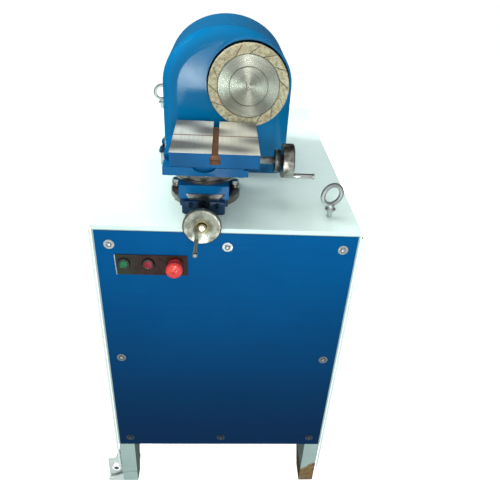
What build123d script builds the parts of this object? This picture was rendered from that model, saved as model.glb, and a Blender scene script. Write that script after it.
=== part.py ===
from build123d import *
import math
import os

# Cup-wheel face grinder for cutting cabochons and small stone plates. A sheet-metal cabinet on four channel
# legs carries a belt-driven grinding spindle under a rounded hood. In front of it stands a compound slide
# with a swivel and a slotted table.
# Millimetres, +Z up, +X to the operator's right, the operator stands on the -Y side.
# The origin is on the floor, in the middle of the four anchor holes.

# ---------------------------------------------------------------- driving dimensions
# cabinet
LEG_H = 185.0            # floor to the cabinet's lower edge
PANEL_W = 600.0          # blue front panel
PANEL_H = 742.0
SHEET = 2.0
FRAME_HALF_W = 304.0     # outside of the channel posts
FRAME_HALF_D = 478.0
POST_FLANGE = 45.0       # channel 100 x 45
POST_DEPTH = 100.0
POST_WALL = 6.0
FRAME_TOP = 930.0
DECK_T = 10.0
DECK = FRAME_TOP + DECK_T
RAIL_H = 50.0
RAIL_D = 30.0
RAIL_WALL = 3.0
MOTOR_RAIL_Z = 380.0
ANCHOR_X = 558.0         # anchor-hole spacing across
ANCHOR_Y = 856.0         # and from front to back
ANCHOR_R = 7.0
PAD_T = 8.0
SCREW_R = 3.0
HOLE_PLAY = 0.2
SCREW_X = 268.0          # panel screws, from the middle
SCREW_TOP = 35.0         # below the panel's top edge
SCREW_MID = 385.0
SCREW_LOW = 710.0

# controls
PLATE_X = (-255.0, -91.0)
PLATE_Z = (811.0, 866.0)
PLATE_T = 3.0
START_X, STOP_X, ESTOP_X = -238.0, -182.0, -121.0
BUTTON_Z = 843.0
ESTOP_Z = 841.0
BUTTON_R = 11.0
BEZEL_R = 14.5
ESTOP_R = 20.0

# spindle, motor and belt
SPINDLE_X = 43.0
SPINDLE_Z = 1182.0
SHAFT_R = 15.0
WHEEL_R = 100.0
RIM_W = 22.0             # radial width of the abrasive ring
WHEEL_FRONT = -197.0
SEGMENTS = 14
SEGMENT_LEAN = 45.0      # of the slots between segments, off the radius
MOTOR_Z = 520.0
MOTOR_R = 90.0
MOTOR_SHAFT_R = 12.0
BELT_Y = 120.0
PULLEY_HALF_W = 12.5
SPINDLE_PULLEY_R = 48.0
MOTOR_PULLEY_R = 66.0
RUN = 0.05               # radial clearance of a running fit

# hood and belt guard
HOOD_X = -8.3
HOOD_A = 167.0           # half width
HOOD_B = 145.0           # rise of the half-elliptic top
HOOD_SPRING_Z = 1165.5   # where the straight sides end
HOOD_FRONT = -163.0
HOOD_BACK = 80.0
HOOD_WALL = 4.0
HOOD_ROUND = 40.0
MOUTH_R = 104.5
GUARD_X = -31.0
GUARD_A = 152.0
GUARD_B = 168.0
GUARD_SPRING_Z = 1129.0
GUARD_BACK = 162.0
GUARD_WALL = 2.5

# compound slide; heights are above the deck
SLIDE_X = -57.0
SWIVEL_Y = -330.0
BASE_X = (-112.0, -2.0)
BASE_Y = (-411.0, -221.0)
BASE_TOP = 36.0
RING_R = 86.0
RING_H = 20.0
RING_Y = -298.0
RING_BORE = 50.0
CLAMP_X = 72.5           # clamping bolts, from the slide's middle
CLAMP_R = 11.5
CLAMP_H = 8.0            # boss under each clamping bolt
CROSS_X = (-115.0, 0.0)
CROSS_Y = (-411.0, -240.0)
CROSS_H = (37.0, 71.0)
WAY_H = 14.0             # height of a dovetail
WAY_SLOPE = 8.0          # how far a dovetail widens over its height
SLIP = 0.3               # gap between sliding faces
SWIVEL_R = 75.0
SWIVEL_H = (77.3, 97.0)
SADDLE_X = (-148.0, 31.0)
SADDLE_Y = (-430.0, -230.0)
SADDLE_H = (103.0, 123.0)
TABLE_X = (-133.0, 65.0)
TABLE_Y = (-430.0, -212.0)
TABLE_H = (124.0, 157.0)
SLOT_X = -33.5           # T-slot
SLOT_W = 14.0
LOW_SCREW_H = 27.5
LOW_SCREW_R = 6.0
HIGH_SCREW_H = 106.0
HIGH_SCREW_Y = -330.0
HIGH_SCREW_R = 5.0
FRONT_WHEEL_R = 42.0
FRONT_WHEEL_Y = -514.0   # back face
FRONT_WHEEL_W = 12.0
FRONT_GRIP = (12.0, 34.0)    # left of and below the wheel's axis
RIGHT_WHEEL_R = 41.0
RIGHT_WHEEL_X = 124.0    # left face
RIGHT_WHEEL_W = 28.0
RIGHT_DIAL_R = 27.0
RIGHT_DIAL_X = 107.0     # left face of the dial behind the wheel
RIGHT_GRIP = (14.0, 32.0)    # in front of and below the wheel's axis
RIGHT_GRIP_L = 48.0

PANEL_TOP = LEG_H + PANEL_H
FRONT = -FRAME_HALF_D - SHEET

os.makedirs("parts", exist_ok=True)


# ---------------------------------------------------------------- helpers
def save(name, *shapes):
    """One node: the given shapes, as separate solids."""
    solids = [s for shape in shapes for s in shape.solids()]
    export_step(solids[0] if len(solids) == 1 else Compound(children=solids), f"parts/{name}.step")


def block(x, y, z):
    """Box between two corners, each axis given as (low, high)."""
    size = [high - low for low, high in (x, y, z)]
    middle = [(high + low) / 2 for low, high in (x, y, z)]
    return Pos(*middle) * Box(*size)


def along(axis, at, start):
    """Place local +Z along a row axis; at gives the other two coordinates, in X, Y, Z order."""
    if axis == "X":
        return Pos(start, at[0], at[1]) * Rot(0, 90, 0)
    if axis == "Y":
        return Pos(at[0], start, at[1]) * Rot(-90, 0, 0)
    return Pos(at[0], at[1], start)


def rod(axis, at, radius, start, end):
    """Round bar along a row axis."""
    base = (Align.CENTER, Align.CENTER, Align.MIN)
    return along(axis, at, start) * Cylinder(radius, end - start, align=base)


def tube(axis, at, outer, inner, start, end):
    return rod(axis, at, outer, start, end) - rod(axis, at, inner, start - 1, end + 1)


def turned(axis, at, start, profile):
    """Body of revolution about a row axis, from (radius, distance along the axis) points."""
    points = [(r, 0, s) for r, s in profile]
    return along(axis, at, start) * revolve(make_face(Polyline(*points, close=True)), Axis.Z)


def hexagon(axis, at, across_flats, start, end):
    bar = extrude(RegularPolygon(across_flats / 2, 6, major_radius=False), end - start)
    return along(axis, at, start) * bar


def prism(plane, points, depth):
    """Straight extrusion of a closed outline drawn on a plane."""
    return extrude(plane * make_face(Polyline(*points, close=True)), depth)


def arch(centre_x, half_w, rise, spring_z, foot_z, y, depth):
    """Solid with straight sides and a half-elliptic top, extruded along +Y."""
    left, right = centre_x - half_w, centre_x + half_w
    outline = Polyline((left, spring_z), (left, foot_z), (right, foot_z), (right, spring_z))
    crown = EllipticalCenterArc((centre_x, spring_z), half_w, rise, start_angle=0, arc_size=180)
    face = make_face(Curve() + [outline, crown])
    return extrude(Plane(origin=(0, y, 0), x_dir=(1, 0, 0), z_dir=(0, -1, 0)) * face, -depth)


def dovetail(axis, middle, half_top, low, high, start, end, grow=0.0):
    """Dovetail way, wider at its top; grow widens it and lifts it for the mating pocket."""
    half_low = half_top - WAY_SLOPE
    points = [(middle - half_low - grow, low), (middle + half_low + grow, low),
              (middle + half_top + grow, high + grow), (middle - half_top - grow, high + grow)]
    if axis == "Y":
        plane = Plane(origin=(0, start, 0), x_dir=(1, 0, 0), z_dir=(0, -1, 0))
        return prism(plane, points, -(end - start))
    plane = Plane(origin=(start, 0, 0), x_dir=(0, 1, 0), z_dir=(1, 0, 0))
    return prism(plane, points, end - start)


def above_deck(pair):
    return (DECK + pair[0], DECK + pair[1])


# ---------------------------------------------------------------- cabinet frame
def panel_screw_places():
    rows = [(PANEL_TOP - SCREW_TOP, (-SCREW_X, 0.0, SCREW_X)),
            (PANEL_TOP - SCREW_MID, (-SCREW_X, SCREW_X)),
            (PANEL_TOP - SCREW_LOW, (-SCREW_X, 0.0, SCREW_X))]
    return [(x, z) for z, xs in rows for x in xs]


def screw_holes(side):
    """Clearance holes for the panel screws, through panel and frame; side is -1 at the front."""
    near, far = sorted((side * (FRAME_HALF_D + SHEET + 1), side * (FRAME_HALF_D - 12)))
    return [rod("Y", place, SCREW_R + HOLE_PLAY, near, far) for place in panel_screw_places()]


def corner_post(side_x, side_y, web_cut):
    """Channel post that is also the leg; web_cut is the lower corner cut of the web on its inner side."""
    outer = side_x * FRAME_HALF_W
    inner = outer - side_x * POST_FLANGE
    face = side_y * FRAME_HALF_D
    back = face - side_y * POST_DEPTH
    span_x = tuple(sorted((outer, inner)))
    span_y = tuple(sorted((face, back)))
    post = block(span_x, span_y, (0, FRAME_TOP))
    hollow_x = tuple(sorted((outer + side_x, inner + side_x * POST_WALL)))
    hollow_y = tuple(sorted((face - side_y * POST_WALL, back + side_y * POST_WALL)))
    post -= block(hollow_x, hollow_y, (-1, FRAME_TOP + 1))
    depth, height = web_cut
    cut = [(back, -1), (back + side_y * depth, -1), (back, height)]
    plane = Plane(origin=(outer + side_x, 0, 0), x_dir=(0, 1, 0), z_dir=(1, 0, 0))
    post -= prism(plane, cut, -side_x * (POST_FLANGE + 2))
    for hole in screw_holes(side_y):
        post -= hole
    return post


posts = [corner_post(-1, -1, (60.0, 175.0)), corner_post(1, -1, (45.0, 45.0)),
         corner_post(-1, 1, (45.0, 45.0)), corner_post(1, 1, (45.0, 45.0))]


def box_rail(x, y, z):
    """Rectangular hollow section along its longest side."""
    sizes = [high - low for low, high in (x, y, z)]
    run = sizes.index(max(sizes))
    inner = [(low + RAIL_WALL, high - RAIL_WALL) for low, high in (x, y, z)]
    inner[run] = ((x, y, z)[run][0] - 1, (x, y, z)[run][1] + 1)
    return block(x, y, z) - block(*inner)


def frame_rails():
    clear_x = FRAME_HALF_W - POST_FLANGE
    clear_y = FRAME_HALF_D - POST_DEPTH
    rails = []
    for low in (LEG_H, FRAME_TOP - RAIL_H):
        for side in (-1, 1):
            edge = tuple(sorted((side * FRAME_HALF_D, side * (FRAME_HALF_D - RAIL_D))))
            rail = box_rail((-clear_x, clear_x), edge, (low, low + RAIL_H))
            for hole in screw_holes(side):
                rail -= hole
            rails.append(rail)
            edge = tuple(sorted((side * FRAME_HALF_W, side * (FRAME_HALF_W - RAIL_D))))
            rails.append(box_rail(edge, (-clear_y, clear_y), (low, low + RAIL_H)))
    side_in = FRAME_HALF_W - RAIL_D
    for side in (-1, 1):
        edge = tuple(sorted((side * FRAME_HALF_W, side * side_in)))
        rails.append(box_rail(edge, (-clear_y, clear_y), (MOTOR_RAIL_Z - RAIL_H, MOTOR_RAIL_Z)))
    for y in (-150.0, -10.0):
        rails.append(box_rail((-side_in, side_in), (y, y + RAIL_D), (MOTOR_RAIL_Z - RAIL_H, MOTOR_RAIL_Z)))
    return rails


def foot_pad(side_x, side_y):
    """Anchor plate welded inside the foot of a channel post."""
    x = tuple(sorted((side_x * FRAME_HALF_W, side_x * (FRAME_HALF_W - POST_FLANGE + POST_WALL))))
    y = tuple(sorted((side_y * (FRAME_HALF_D - POST_WALL), side_y * (FRAME_HALF_D - POST_DEPTH + POST_WALL))))
    hole = rod("Z", (side_x * ANCHOR_X / 2, side_y * ANCHOR_Y / 2), ANCHOR_R, -1, PAD_T + 1)
    return block(x, y, (0, PAD_T)) - hole


FOOT_OUT = 47.0          # how far a foot bracket stands out of the post
FOOT_D = 60.0            # its depth
FOOT_T = 6.0
FOOT_PLATE_Y = 24.0      # back face of its upright plate, behind the post's front
FOOT_PLATE_H = 80.0      # height of that plate at its tip
FOOT_BACK = 150.0        # and where it meets the post
FOOT_SKIRT = 40.0        # height of its front skirt where it meets the post
FOOT_CHEEK = 12.0
BOSS_X = 20.0            # threaded boss, out from the post
BOSS_Z = 56.0
BOSS_L = 13.0
BOSS_HOLE_R = 7.0


def foot_bracket(side):
    """Outrigger foot: base plate, upright plate with a threaded boss, and a curved skirt in front of it.

    It is modelled on the left front post and turned half a turn about Z for the right rear one.
    """
    post_x = -FRAME_HALF_W
    tip = post_x - FOOT_OUT
    face = -FRAME_HALF_D
    plate_back = face + FOOT_PLATE_Y
    base = block((tip, post_x), (face, face + FOOT_D), (0, FOOT_T))
    cheek = block((tip, tip + FOOT_T), (face, plate_back), (0, FOOT_CHEEK))
    plate_line = [(tip, 0), (post_x, 0), (post_x, FOOT_BACK), (post_x - 24, FOOT_PLATE_H + 4),
                  (tip, FOOT_PLATE_H)]
    plate = prism(Plane(origin=(0, plate_back, 0), x_dir=(1, 0, 0), z_dir=(0, -1, 0)), plate_line, FOOT_T)
    gusset_line = [(plate_back - 1, 0), (face + FOOT_D, 0), (plate_back - 1, FOOT_PLATE_H / 2)]
    gusset = prism(Plane(origin=(tip + FOOT_T, 0, 0), x_dir=(0, 1, 0), z_dir=(1, 0, 0)), gusset_line, FOOT_T)
    skirt_line = Polyline((tip, FOOT_CHEEK), (tip, 0), (post_x, 0), (post_x, FOOT_SKIRT))
    curve = Spline((post_x, FOOT_SKIRT), (post_x - 18, 22.0), (tip, FOOT_CHEEK),
                   tangents=[(-1, -1.6), (-1, 0)])
    front = Plane(origin=(0, face, 0), x_dir=(1, 0, 0), z_dir=(0, -1, 0))
    skirt = extrude(front * make_face(Curve() + [skirt_line, curve]), -FOOT_T)
    boss_at = (post_x - BOSS_X, BOSS_Z)
    boss_start = plate_back - FOOT_T - BOSS_L
    boss = hexagon("Y", boss_at, 24.0, boss_start, plate_back - FOOT_T)
    bracket = base + cheek + plate + gusset + skirt + boss
    bracket -= rod("Y", boss_at, BOSS_HOLE_R, boss_start - 1, plate_back + 1)
    return bracket if side < 0 else Rot(0, 0, 180) * bracket


save("corner_posts", *posts)
save("frame_rails", *frame_rails())
save("foot_pads", *[foot_pad(sx, sy) for sx in (-1, 1) for sy in (-1, 1)])
save("foot_brackets", foot_bracket(-1), foot_bracket(1))


# ---------------------------------------------------------------- panels and deck
def flat_panel(side):
    """Front (-1) or rear (1) cover sheet with its screw holes."""
    y = tuple(sorted((side * FRAME_HALF_D, side * (FRAME_HALF_D + SHEET))))
    panel = block((-PANEL_W / 2, PANEL_W / 2), y, (LEG_H, PANEL_TOP))
    for hole in screw_holes(side):
        panel -= hole
    return panel


front_panel = flat_panel(-1)
for x, z in ((START_X, BUTTON_Z), (STOP_X, BUTTON_Z), (ESTOP_X, ESTOP_Z)):
    front_panel -= rod("Y", (x, z), BUTTON_R + HOLE_PLAY, FRONT - 1, -FRAME_HALF_D + 1)
save("front_panel", front_panel)

GLAND_X, GLAND_Z = -200.0, 300.0
GLAND_R = 10.0
GLAND_BORE = 5.0
rear_panel = flat_panel(1)
for row in range(8):
    for column in (-1, 1):
        slot = Pos(column * 110.0, 0, 560.0 + row * 22.0) * Rot(90, 0, 0) * SlotOverall(120, 7)
        rear_panel -= extrude(slot, 2 * FRAME_HALF_D, both=True) & block((-300, 300), (470, 490), (400, 800))
rear_panel -= rod("Y", (GLAND_X, GLAND_Z), GLAND_R, FRAME_HALF_D - 1, FRAME_HALF_D + SHEET + 1)
save("rear_panel", rear_panel)

side_panels = []
for side in (-1, 1):
    x = tuple(sorted((side * FRAME_HALF_W, side * (FRAME_HALF_W + SHEET))))
    side_panels.append(block(x, (-FRAME_HALF_D, FRAME_HALF_D), (LEG_H, FRAME_TOP)))
save("side_panels", *side_panels)

BELT_HOLE = ((SPINDLE_X - 72.0, SPINDLE_X + 72.0), (BELT_Y - 26.0, BELT_Y + 26.0))
EYE_PLACES = ((241.5, -405.0), (-241.5, 407.0))
EYE_SHANK_R = 6.0
DECK_HALF_W = FRAME_HALF_W + SHEET
DECK_HALF_D = FRAME_HALF_D + SHEET
deck = block((-DECK_HALF_W, DECK_HALF_W), (-DECK_HALF_D, DECK_HALF_D), (FRAME_TOP, DECK))
deck = fillet(deck.edges().filter_by(Axis.Z), 4.0)
deck -= block(*BELT_HOLE, (FRAME_TOP - 1, DECK + 1))
for place in EYE_PLACES:
    deck -= rod("Z", place, EYE_SHANK_R, FRAME_TOP - 1, DECK + 1)
save("top_plate", deck)


def panel_screw(x, z, side):
    """Round-headed screw on a washer."""
    face = side * (FRAME_HALF_D + SHEET)
    profile = [(0, -11.0), (SCREW_R, -11.0), (SCREW_R, 0), (12.0, 0), (12.0, 1.6), (6.6, 1.6), (6.2, 4.0),
               (4.2, 6.0), (0, 6.8)]
    screw = turned("Z", (0, 0), 0, profile)
    return Pos(x, face, z) * Rot(90 if side < 0 else -90, 0, 0) * screw


save("panel_screws", *[panel_screw(x, z, side) for side in (-1, 1) for x, z in panel_screw_places()])

EYE_RING_R, EYE_WIRE_R = 24.5, 5.5
EYE_STAND = 16.0         # bare shank between the deck and the eye's collar
EYE_RING_H = 56.0
EYE_TURN = 20.0


def eye_bolt(x, y):
    """Lifting eye, not screwed right down: shank, collar, neck and ring."""
    shank = rod("Z", (0, 0), EYE_SHANK_R, -22.0, EYE_STAND + 1)
    foot = turned("Z", (0, 0), EYE_STAND, [(0, 0), (10.0, 0), (12.5, 1.5), (12.5, 5.0), (9.0, 8.0),
                                           (8.0, 17.0), (0, 17.0)])
    ring = Pos(0, 0, EYE_RING_H) * Rot(90, 0, 0) * Torus(EYE_RING_R, EYE_WIRE_R)
    return Pos(x, y, DECK) * Rot(0, 0, EYE_TURN) * (shank + foot + ring)


save("eye_bolts", *[eye_bolt(*place) for place in EYE_PLACES])


# ---------------------------------------------------------------- controls
plate = block(PLATE_X, (FRONT - PLATE_T, FRONT), PLATE_Z)
for x, z in ((START_X, BUTTON_Z), (STOP_X, BUTTON_Z), (ESTOP_X, ESTOP_Z)):
    plate -= rod("Y", (x, z), BUTTON_R + HOLE_PLAY, FRONT - PLATE_T - 1, FRONT + 1)
save("control_plate", plate)

PLATE_FACE = FRONT - PLATE_T
CAP_R = 9.6
STEM_R = 5.0


def button_bezel(x):
    """Chromed bezel with its threaded barrel through the panel, open for the cap and its stem."""
    outer = [(CAP_R + 0.4, 0), (BEZEL_R, 0), (BEZEL_R, 3.0), (BEZEL_R - 2.0, 6.5), (CAP_R + 0.4, 6.5)]
    ring = turned("Z", (0, 0), 0, outer)
    barrel = turned("Z", (0, 0), 0, [(STEM_R + 0.3, -24.0), (BUTTON_R, -24.0), (BUTTON_R, 0),
                                     (CAP_R + 0.4, 0), (CAP_R + 0.4, -6.0), (STEM_R + 0.3, -6.0)])
    return Pos(x, PLATE_FACE, BUTTON_Z) * Rot(90, 0, 0) * (ring + barrel)


def button_cap(x):
    """Push cap with its stem; it stands proud of the bezel by less than the finger's travel."""
    cap = turned("Z", (0, 0), 0, [(0, -22.0), (STEM_R, -22.0), (STEM_R, -1.5), (CAP_R, -1.5), (CAP_R, 6.6),
                                  (CAP_R - 1.0, 7.6), (0, 8.2)])
    return Pos(x, PLATE_FACE, BUTTON_Z) * Rot(90, 0, 0) * cap


save("button_bezels", button_bezel(START_X), button_bezel(STOP_X))
save("start_cap", button_cap(START_X))
save("stop_cap", button_cap(STOP_X))

ESTOP_AT = Pos(ESTOP_X, PLATE_FACE, ESTOP_Z) * Rot(90, 0, 0)
estop_collar = turned("Z", (0, 0), 0, [
    (7.4, -24.0), (BUTTON_R, -24.0), (BUTTON_R, 0), (17.0, 0), (17.0, 4.5), (14.5, 6.5), (14.5, 8.0),
    (7.4, 8.0)])
estop_stem = turned("Z", (0, 0), 0, [
    (0, -22.0), (7.0, -22.0), (7.0, 13.0), (5.0, 13.0), (5.0, 24.0), (0, 24.0)])
estop_head = turned("Z", (0, 0), 0, [
    (5.4, 13.4), (14.0, 13.4), (ESTOP_R, 19.0), (ESTOP_R, 24.0), (17.5, 29.0), (10.0, 32.0), (0, 33.0),
    (0, 24.4), (5.4, 24.4)])
for turn in range(3):
    arrow = Box(11.0, 2.4, 3.0, align=(Align.MIN, Align.CENTER, Align.CENTER))
    estop_head -= Pos(0, 0, 32.0) * Rot(0, 0, 60 + turn * 120) * arrow
save("estop_collar", ESTOP_AT * estop_collar)
save("estop_stem", ESTOP_AT * estop_stem)
save("estop_head", ESTOP_AT * estop_head)

BLOCK_HALF_W, BLOCK_HALF_H = 15.0, 20.0
BLOCK_Y = (-FRAME_HALF_D + 25.0, -FRAME_HALF_D + 70.0)
contact_blocks = []
for x, z in ((START_X, BUTTON_Z), (STOP_X, BUTTON_Z), (ESTOP_X, ESTOP_Z)):
    contact_blocks.append(block((x - BLOCK_HALF_W, x + BLOCK_HALF_W), BLOCK_Y,
                                (z - BLOCK_HALF_H, z + BLOCK_HALF_H)))
save("contact_blocks", *contact_blocks)

SWITCH_BOX = ((-FRAME_HALF_W, -204.0), (-220.0, -40.0), (560.0, 800.0))
SWITCH_WALL = 3.0
switch_box = block(*SWITCH_BOX)
switch_box = fillet(switch_box.edges().filter_by(Axis.X), 8.0)
switch_box -= block(*[(low + SWITCH_WALL, high - SWITCH_WALL) for low, high in SWITCH_BOX])
save("switch_box", switch_box)

gland = turned("Y", (GLAND_X, GLAND_Z), FRAME_HALF_D + SHEET,
               [(GLAND_BORE, -10.0), (GLAND_R, -10.0), (GLAND_R, 0), (14.0, 0), (14.0, 8.0), (11.5, 9.0),
                (11.5, 18.0), (9.0, 24.0), (GLAND_BORE, 24.0)])
save("cable_gland", gland)


# ---------------------------------------------------------------- motor
MOTOR_AT = (SPINDLE_X, MOTOR_Z)
MOTOR_Y = (-185.0, 55.0)
MOTOR_BELL = 18.0        # width of an end bell
MOTOR_PLATE_TOP = MOTOR_Z - MOTOR_R - 10.0
MOTOR_FOOT_T = 12.0
MOTOR_FOOT_HALF = 85.0
MOTOR_FOOT_Y = (-150.0, 30.0)
MOTOR_BOLT_X = 70.0      # foot bolts, from the motor's middle
MOTOR_BOLT_Y = (-130.0, 10.0)
BOLT_R = 5.0
FINS = 24
FAN_SLOTS = 12
FAN_BLADES = 8
COVER_END = -235.0       # rear end of the fan cover
COVER_WALL = 2.0


def round_motor(turn, count, shape):
    """Shape drawn above the motor's axis, turned to one of count equal places."""
    return Pos(SPINDLE_X, 0, MOTOR_Z) * Rot(0, turn * 360.0 / count, 0) * shape


def across(half, middle=SPINDLE_X):
    return (middle - half, middle + half)


motor_body = rod("Y", MOTOR_AT, MOTOR_R - 8.0, *MOTOR_Y)
fin = block((-1.8, 1.8), (MOTOR_Y[0] + 20.0, MOTOR_Y[1] - 20.0), (MOTOR_R - 14.0, MOTOR_R))
for turn in range(FINS):
    motor_body += round_motor(turn, FINS, fin)
for start in (MOTOR_Y[0], MOTOR_Y[1] - MOTOR_BELL):
    motor_body += rod("Y", MOTOR_AT, MOTOR_R - 3.0, start, start + MOTOR_BELL)
motor_body += block(across(MOTOR_FOOT_HALF), MOTOR_FOOT_Y, (MOTOR_PLATE_TOP, MOTOR_PLATE_TOP + MOTOR_FOOT_T))
motor_body += block(across(55.0), (MOTOR_FOOT_Y[0] + 5, MOTOR_FOOT_Y[1] - 5),
                    (MOTOR_PLATE_TOP, MOTOR_Z - 60.0))
motor_body -= rod("Y", MOTOR_AT, MOTOR_SHAFT_R + RUN, MOTOR_Y[0] - 1, MOTOR_Y[1] + 1)
motor_bolts_at = [(SPINDLE_X + side * MOTOR_BOLT_X, y) for side in (-1, 1) for y in MOTOR_BOLT_Y]
for place in motor_bolts_at:
    motor_body -= rod("Z", place, BOLT_R + HOLE_PLAY, MOTOR_PLATE_TOP - 1, MOTOR_PLATE_TOP + MOTOR_FOOT_T + 1)
save("motor_body", motor_body)

fan_cover = rod("Y", MOTOR_AT, MOTOR_R - 1.0, COVER_END, MOTOR_Y[0])
fan_cover -= rod("Y", MOTOR_AT, MOTOR_R - 1.0 - COVER_WALL, COVER_END + COVER_WALL, MOTOR_Y[0] + 1)
air_slot = block((-3.0, 3.0), (COVER_END - 5, COVER_END + 5), (30.0, 75.0))
for turn in range(FAN_SLOTS):
    fan_cover -= round_motor(turn, FAN_SLOTS, air_slot)
MOTOR_TOP = MOTOR_Z + MOTOR_R
terminal_box = block(across(55.0), (-120.0, -20.0), (MOTOR_TOP + SLIP, MOTOR_TOP + 45))
save("motor_covers", fan_cover, fillet(terminal_box.edges().filter_by(Axis.Z), 8.0))

MOTOR_PLATE_T = 10.0
PLATE_LOW = MOTOR_PLATE_TOP - MOTOR_PLATE_T
motor_plate = block(across(120.0), (-180.0, 60.0), (PLATE_LOW, MOTOR_PLATE_TOP))
for place in motor_bolts_at:
    motor_plate -= rod("Z", place, BOLT_R + HOLE_PLAY, PLATE_LOW - 1, MOTOR_PLATE_TOP + 1)
for x in across(100.0):
    for y in (-135.0, 5.0):
        motor_plate += block(across(12.0, x), across(12.0, y), (MOTOR_RAIL_Z, PLATE_LOW))
save("motor_plate", motor_plate)

motor_rotor = rod("Y", MOTOR_AT, MOTOR_SHAFT_R, COVER_END + 9, BELT_Y + PULLEY_HALF_W + 6)
motor_rotor += rod("Y", MOTOR_AT, 24.0, -224.0, -200.0)
blade = block((-1.5, 1.5), (-222.0, -200.0), (20.0, 74.0))
for turn in range(FAN_BLADES):
    motor_rotor += round_motor(turn, FAN_BLADES, blade)
save("motor_rotor", motor_rotor)

GROOVE_TOP, GROOVE_LOW, GROOVE_DEPTH = 8.6, 4.6, 13.5
BELT_TOP, BELT_LOW, BELT_DEPTH = 8.0, 5.0, 10.0


def pulley(at, outer_r, bore_r):
    """Single V-groove pulley centred on the belt's plane."""
    w = PULLEY_HALF_W
    profile = [(bore_r, -w), (outer_r, -w), (outer_r, -GROOVE_TOP), (outer_r - GROOVE_DEPTH, -GROOVE_LOW),
               (outer_r - GROOVE_DEPTH, GROOVE_LOW), (outer_r, GROOVE_TOP), (outer_r, w), (bore_r, w)]
    return turned("Y", at, BELT_Y, profile)


save("motor_pulley", pulley(MOTOR_AT, MOTOR_PULLEY_R, MOTOR_SHAFT_R))
SPINDLE_AT = (SPINDLE_X, SPINDLE_Z)
save("spindle_pulley", pulley(SPINDLE_AT, SPINDLE_PULLEY_R, SHAFT_R - 2.0))


def belt_solid():
    """The belt's closed loop, swept from its trapezium."""
    lean = math.asin((MOTOR_PULLEY_R - SPINDLE_PULLEY_R) / (SPINDLE_Z - MOTOR_Z))
    sin_l, cos_l = math.sin(lean), math.cos(lean)
    big, small = MOTOR_PULLEY_R - BELT_DEPTH / 2, SPINDLE_PULLEY_R - BELT_DEPTH / 2

    def on(side, radius, centre_z):
        return (SPINDLE_X + side * radius * cos_l, BELT_Y, centre_z + radius * sin_l)

    low_l, high_l = on(-1, big, MOTOR_Z), on(-1, small, SPINDLE_Z)
    low_r, high_r = on(1, big, MOTOR_Z), on(1, small, SPINDLE_Z)
    path = Wire([
        Edge.make_line(low_r, high_r),
        Edge.make_three_point_arc(high_r, (SPINDLE_X, BELT_Y, SPINDLE_Z + small), high_l),
        Edge.make_line(high_l, low_l),
        Edge.make_three_point_arc(low_l, (SPINDLE_X, BELT_Y, MOTOR_Z - big), low_r),
    ])
    run = Vector(*high_r) - Vector(*low_r)
    start = Plane(origin=low_r, x_dir=(0, 1, 0), z_dir=run)
    out = BELT_DEPTH / 2
    # local y points towards the belt's inside or outside, so the wide face is put on the outer side
    sign = 1.0 if start.y_dir.X > 0 else -1.0
    face = start * make_face(Polyline((-BELT_TOP, sign * out), (BELT_TOP, sign * out),
                                      (BELT_LOW, -sign * out), (-BELT_LOW, -sign * out), close=True))
    return sweep(face, path=path)


save("v_belt", belt_solid())

# ---------------------------------------------------------------- spindle and cup wheel
HOUSING_R = 48.0
HOUSING_Y = (-125.0, 65.0)
BEARING_R = 31.0
BEARING_W = 16.0
PEDESTAL_T = 16.0        # thickness of its base
PEDESTAL_BOLT_X = 78.0
pedestal = block(across(90.0), (-115.0, 55.0), (DECK, DECK + PEDESTAL_T))
pedestal += block(across(34.0), (-80.0, 20.0), (DECK + 10, SPINDLE_Z - 30))
rib = [(SPINDLE_X - 75, DECK + 10), (SPINDLE_X + 75, DECK + 10), (SPINDLE_X + 40, SPINDLE_Z - 20),
       (SPINDLE_X - 40, SPINDLE_Z - 20)]
for y in (-80.0, 12.0):
    pedestal += prism(Plane(origin=(0, y, 0), x_dir=(1, 0, 0), z_dir=(0, -1, 0)), rib, -8.0)
pedestal += rod("Y", SPINDLE_AT, HOUSING_R, *HOUSING_Y)
pedestal -= rod("Y", SPINDLE_AT, BEARING_R, HOUSING_Y[0] - 1, HOUSING_Y[1] + 1)
pedestal_bolts_at = [(SPINDLE_X + side * PEDESTAL_BOLT_X, y) for side in (-1, 1) for y in (-100.0, 40.0)]
for place in pedestal_bolts_at:
    pedestal -= rod("Z", place, BOLT_R + HOLE_PLAY, DECK - 1, DECK + PEDESTAL_T + 1)
save("spindle_pedestal", pedestal)

bearing_starts = (HOUSING_Y[0] + 4.0, HOUSING_Y[1] - 4.0 - BEARING_W)
save("spindle_bearings", *[tube("Y", SPINDLE_AT, BEARING_R, SHAFT_R + RUN, y, y + BEARING_W)
                           for y in bearing_starts])
save("bearing_caps", tube("Y", SPINDLE_AT, HOUSING_R - 2, SHAFT_R + 2, HOUSING_Y[0] - 8, HOUSING_Y[0]),
     tube("Y", SPINDLE_AT, HOUSING_R - 2, SHAFT_R + 2, HOUSING_Y[1], HOUSING_Y[1] + 8))


def hex_bolt(place, seat, grip, shank_r=BOLT_R, flats=17.0, head=7.0):
    """Hexagon-headed bolt with its washer, pointing down from seat."""
    x, y = place
    bolt = hexagon("Z", place, flats, seat + 2.0, seat + 2.0 + head)
    bolt += rod("Z", place, flats * 0.62, seat, seat + 2.0)
    return bolt + rod("Z", place, shank_r, seat - grip, seat + 1.0)


machine_bolts = [hex_bolt(place, DECK + PEDESTAL_T, PEDESTAL_T) for place in pedestal_bolts_at]
machine_bolts += [hex_bolt(place, MOTOR_PLATE_TOP + MOTOR_FOOT_T, MOTOR_FOOT_T + MOTOR_PLATE_T)
                  for place in motor_bolts_at]
save("machine_bolts", *machine_bolts)

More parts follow.
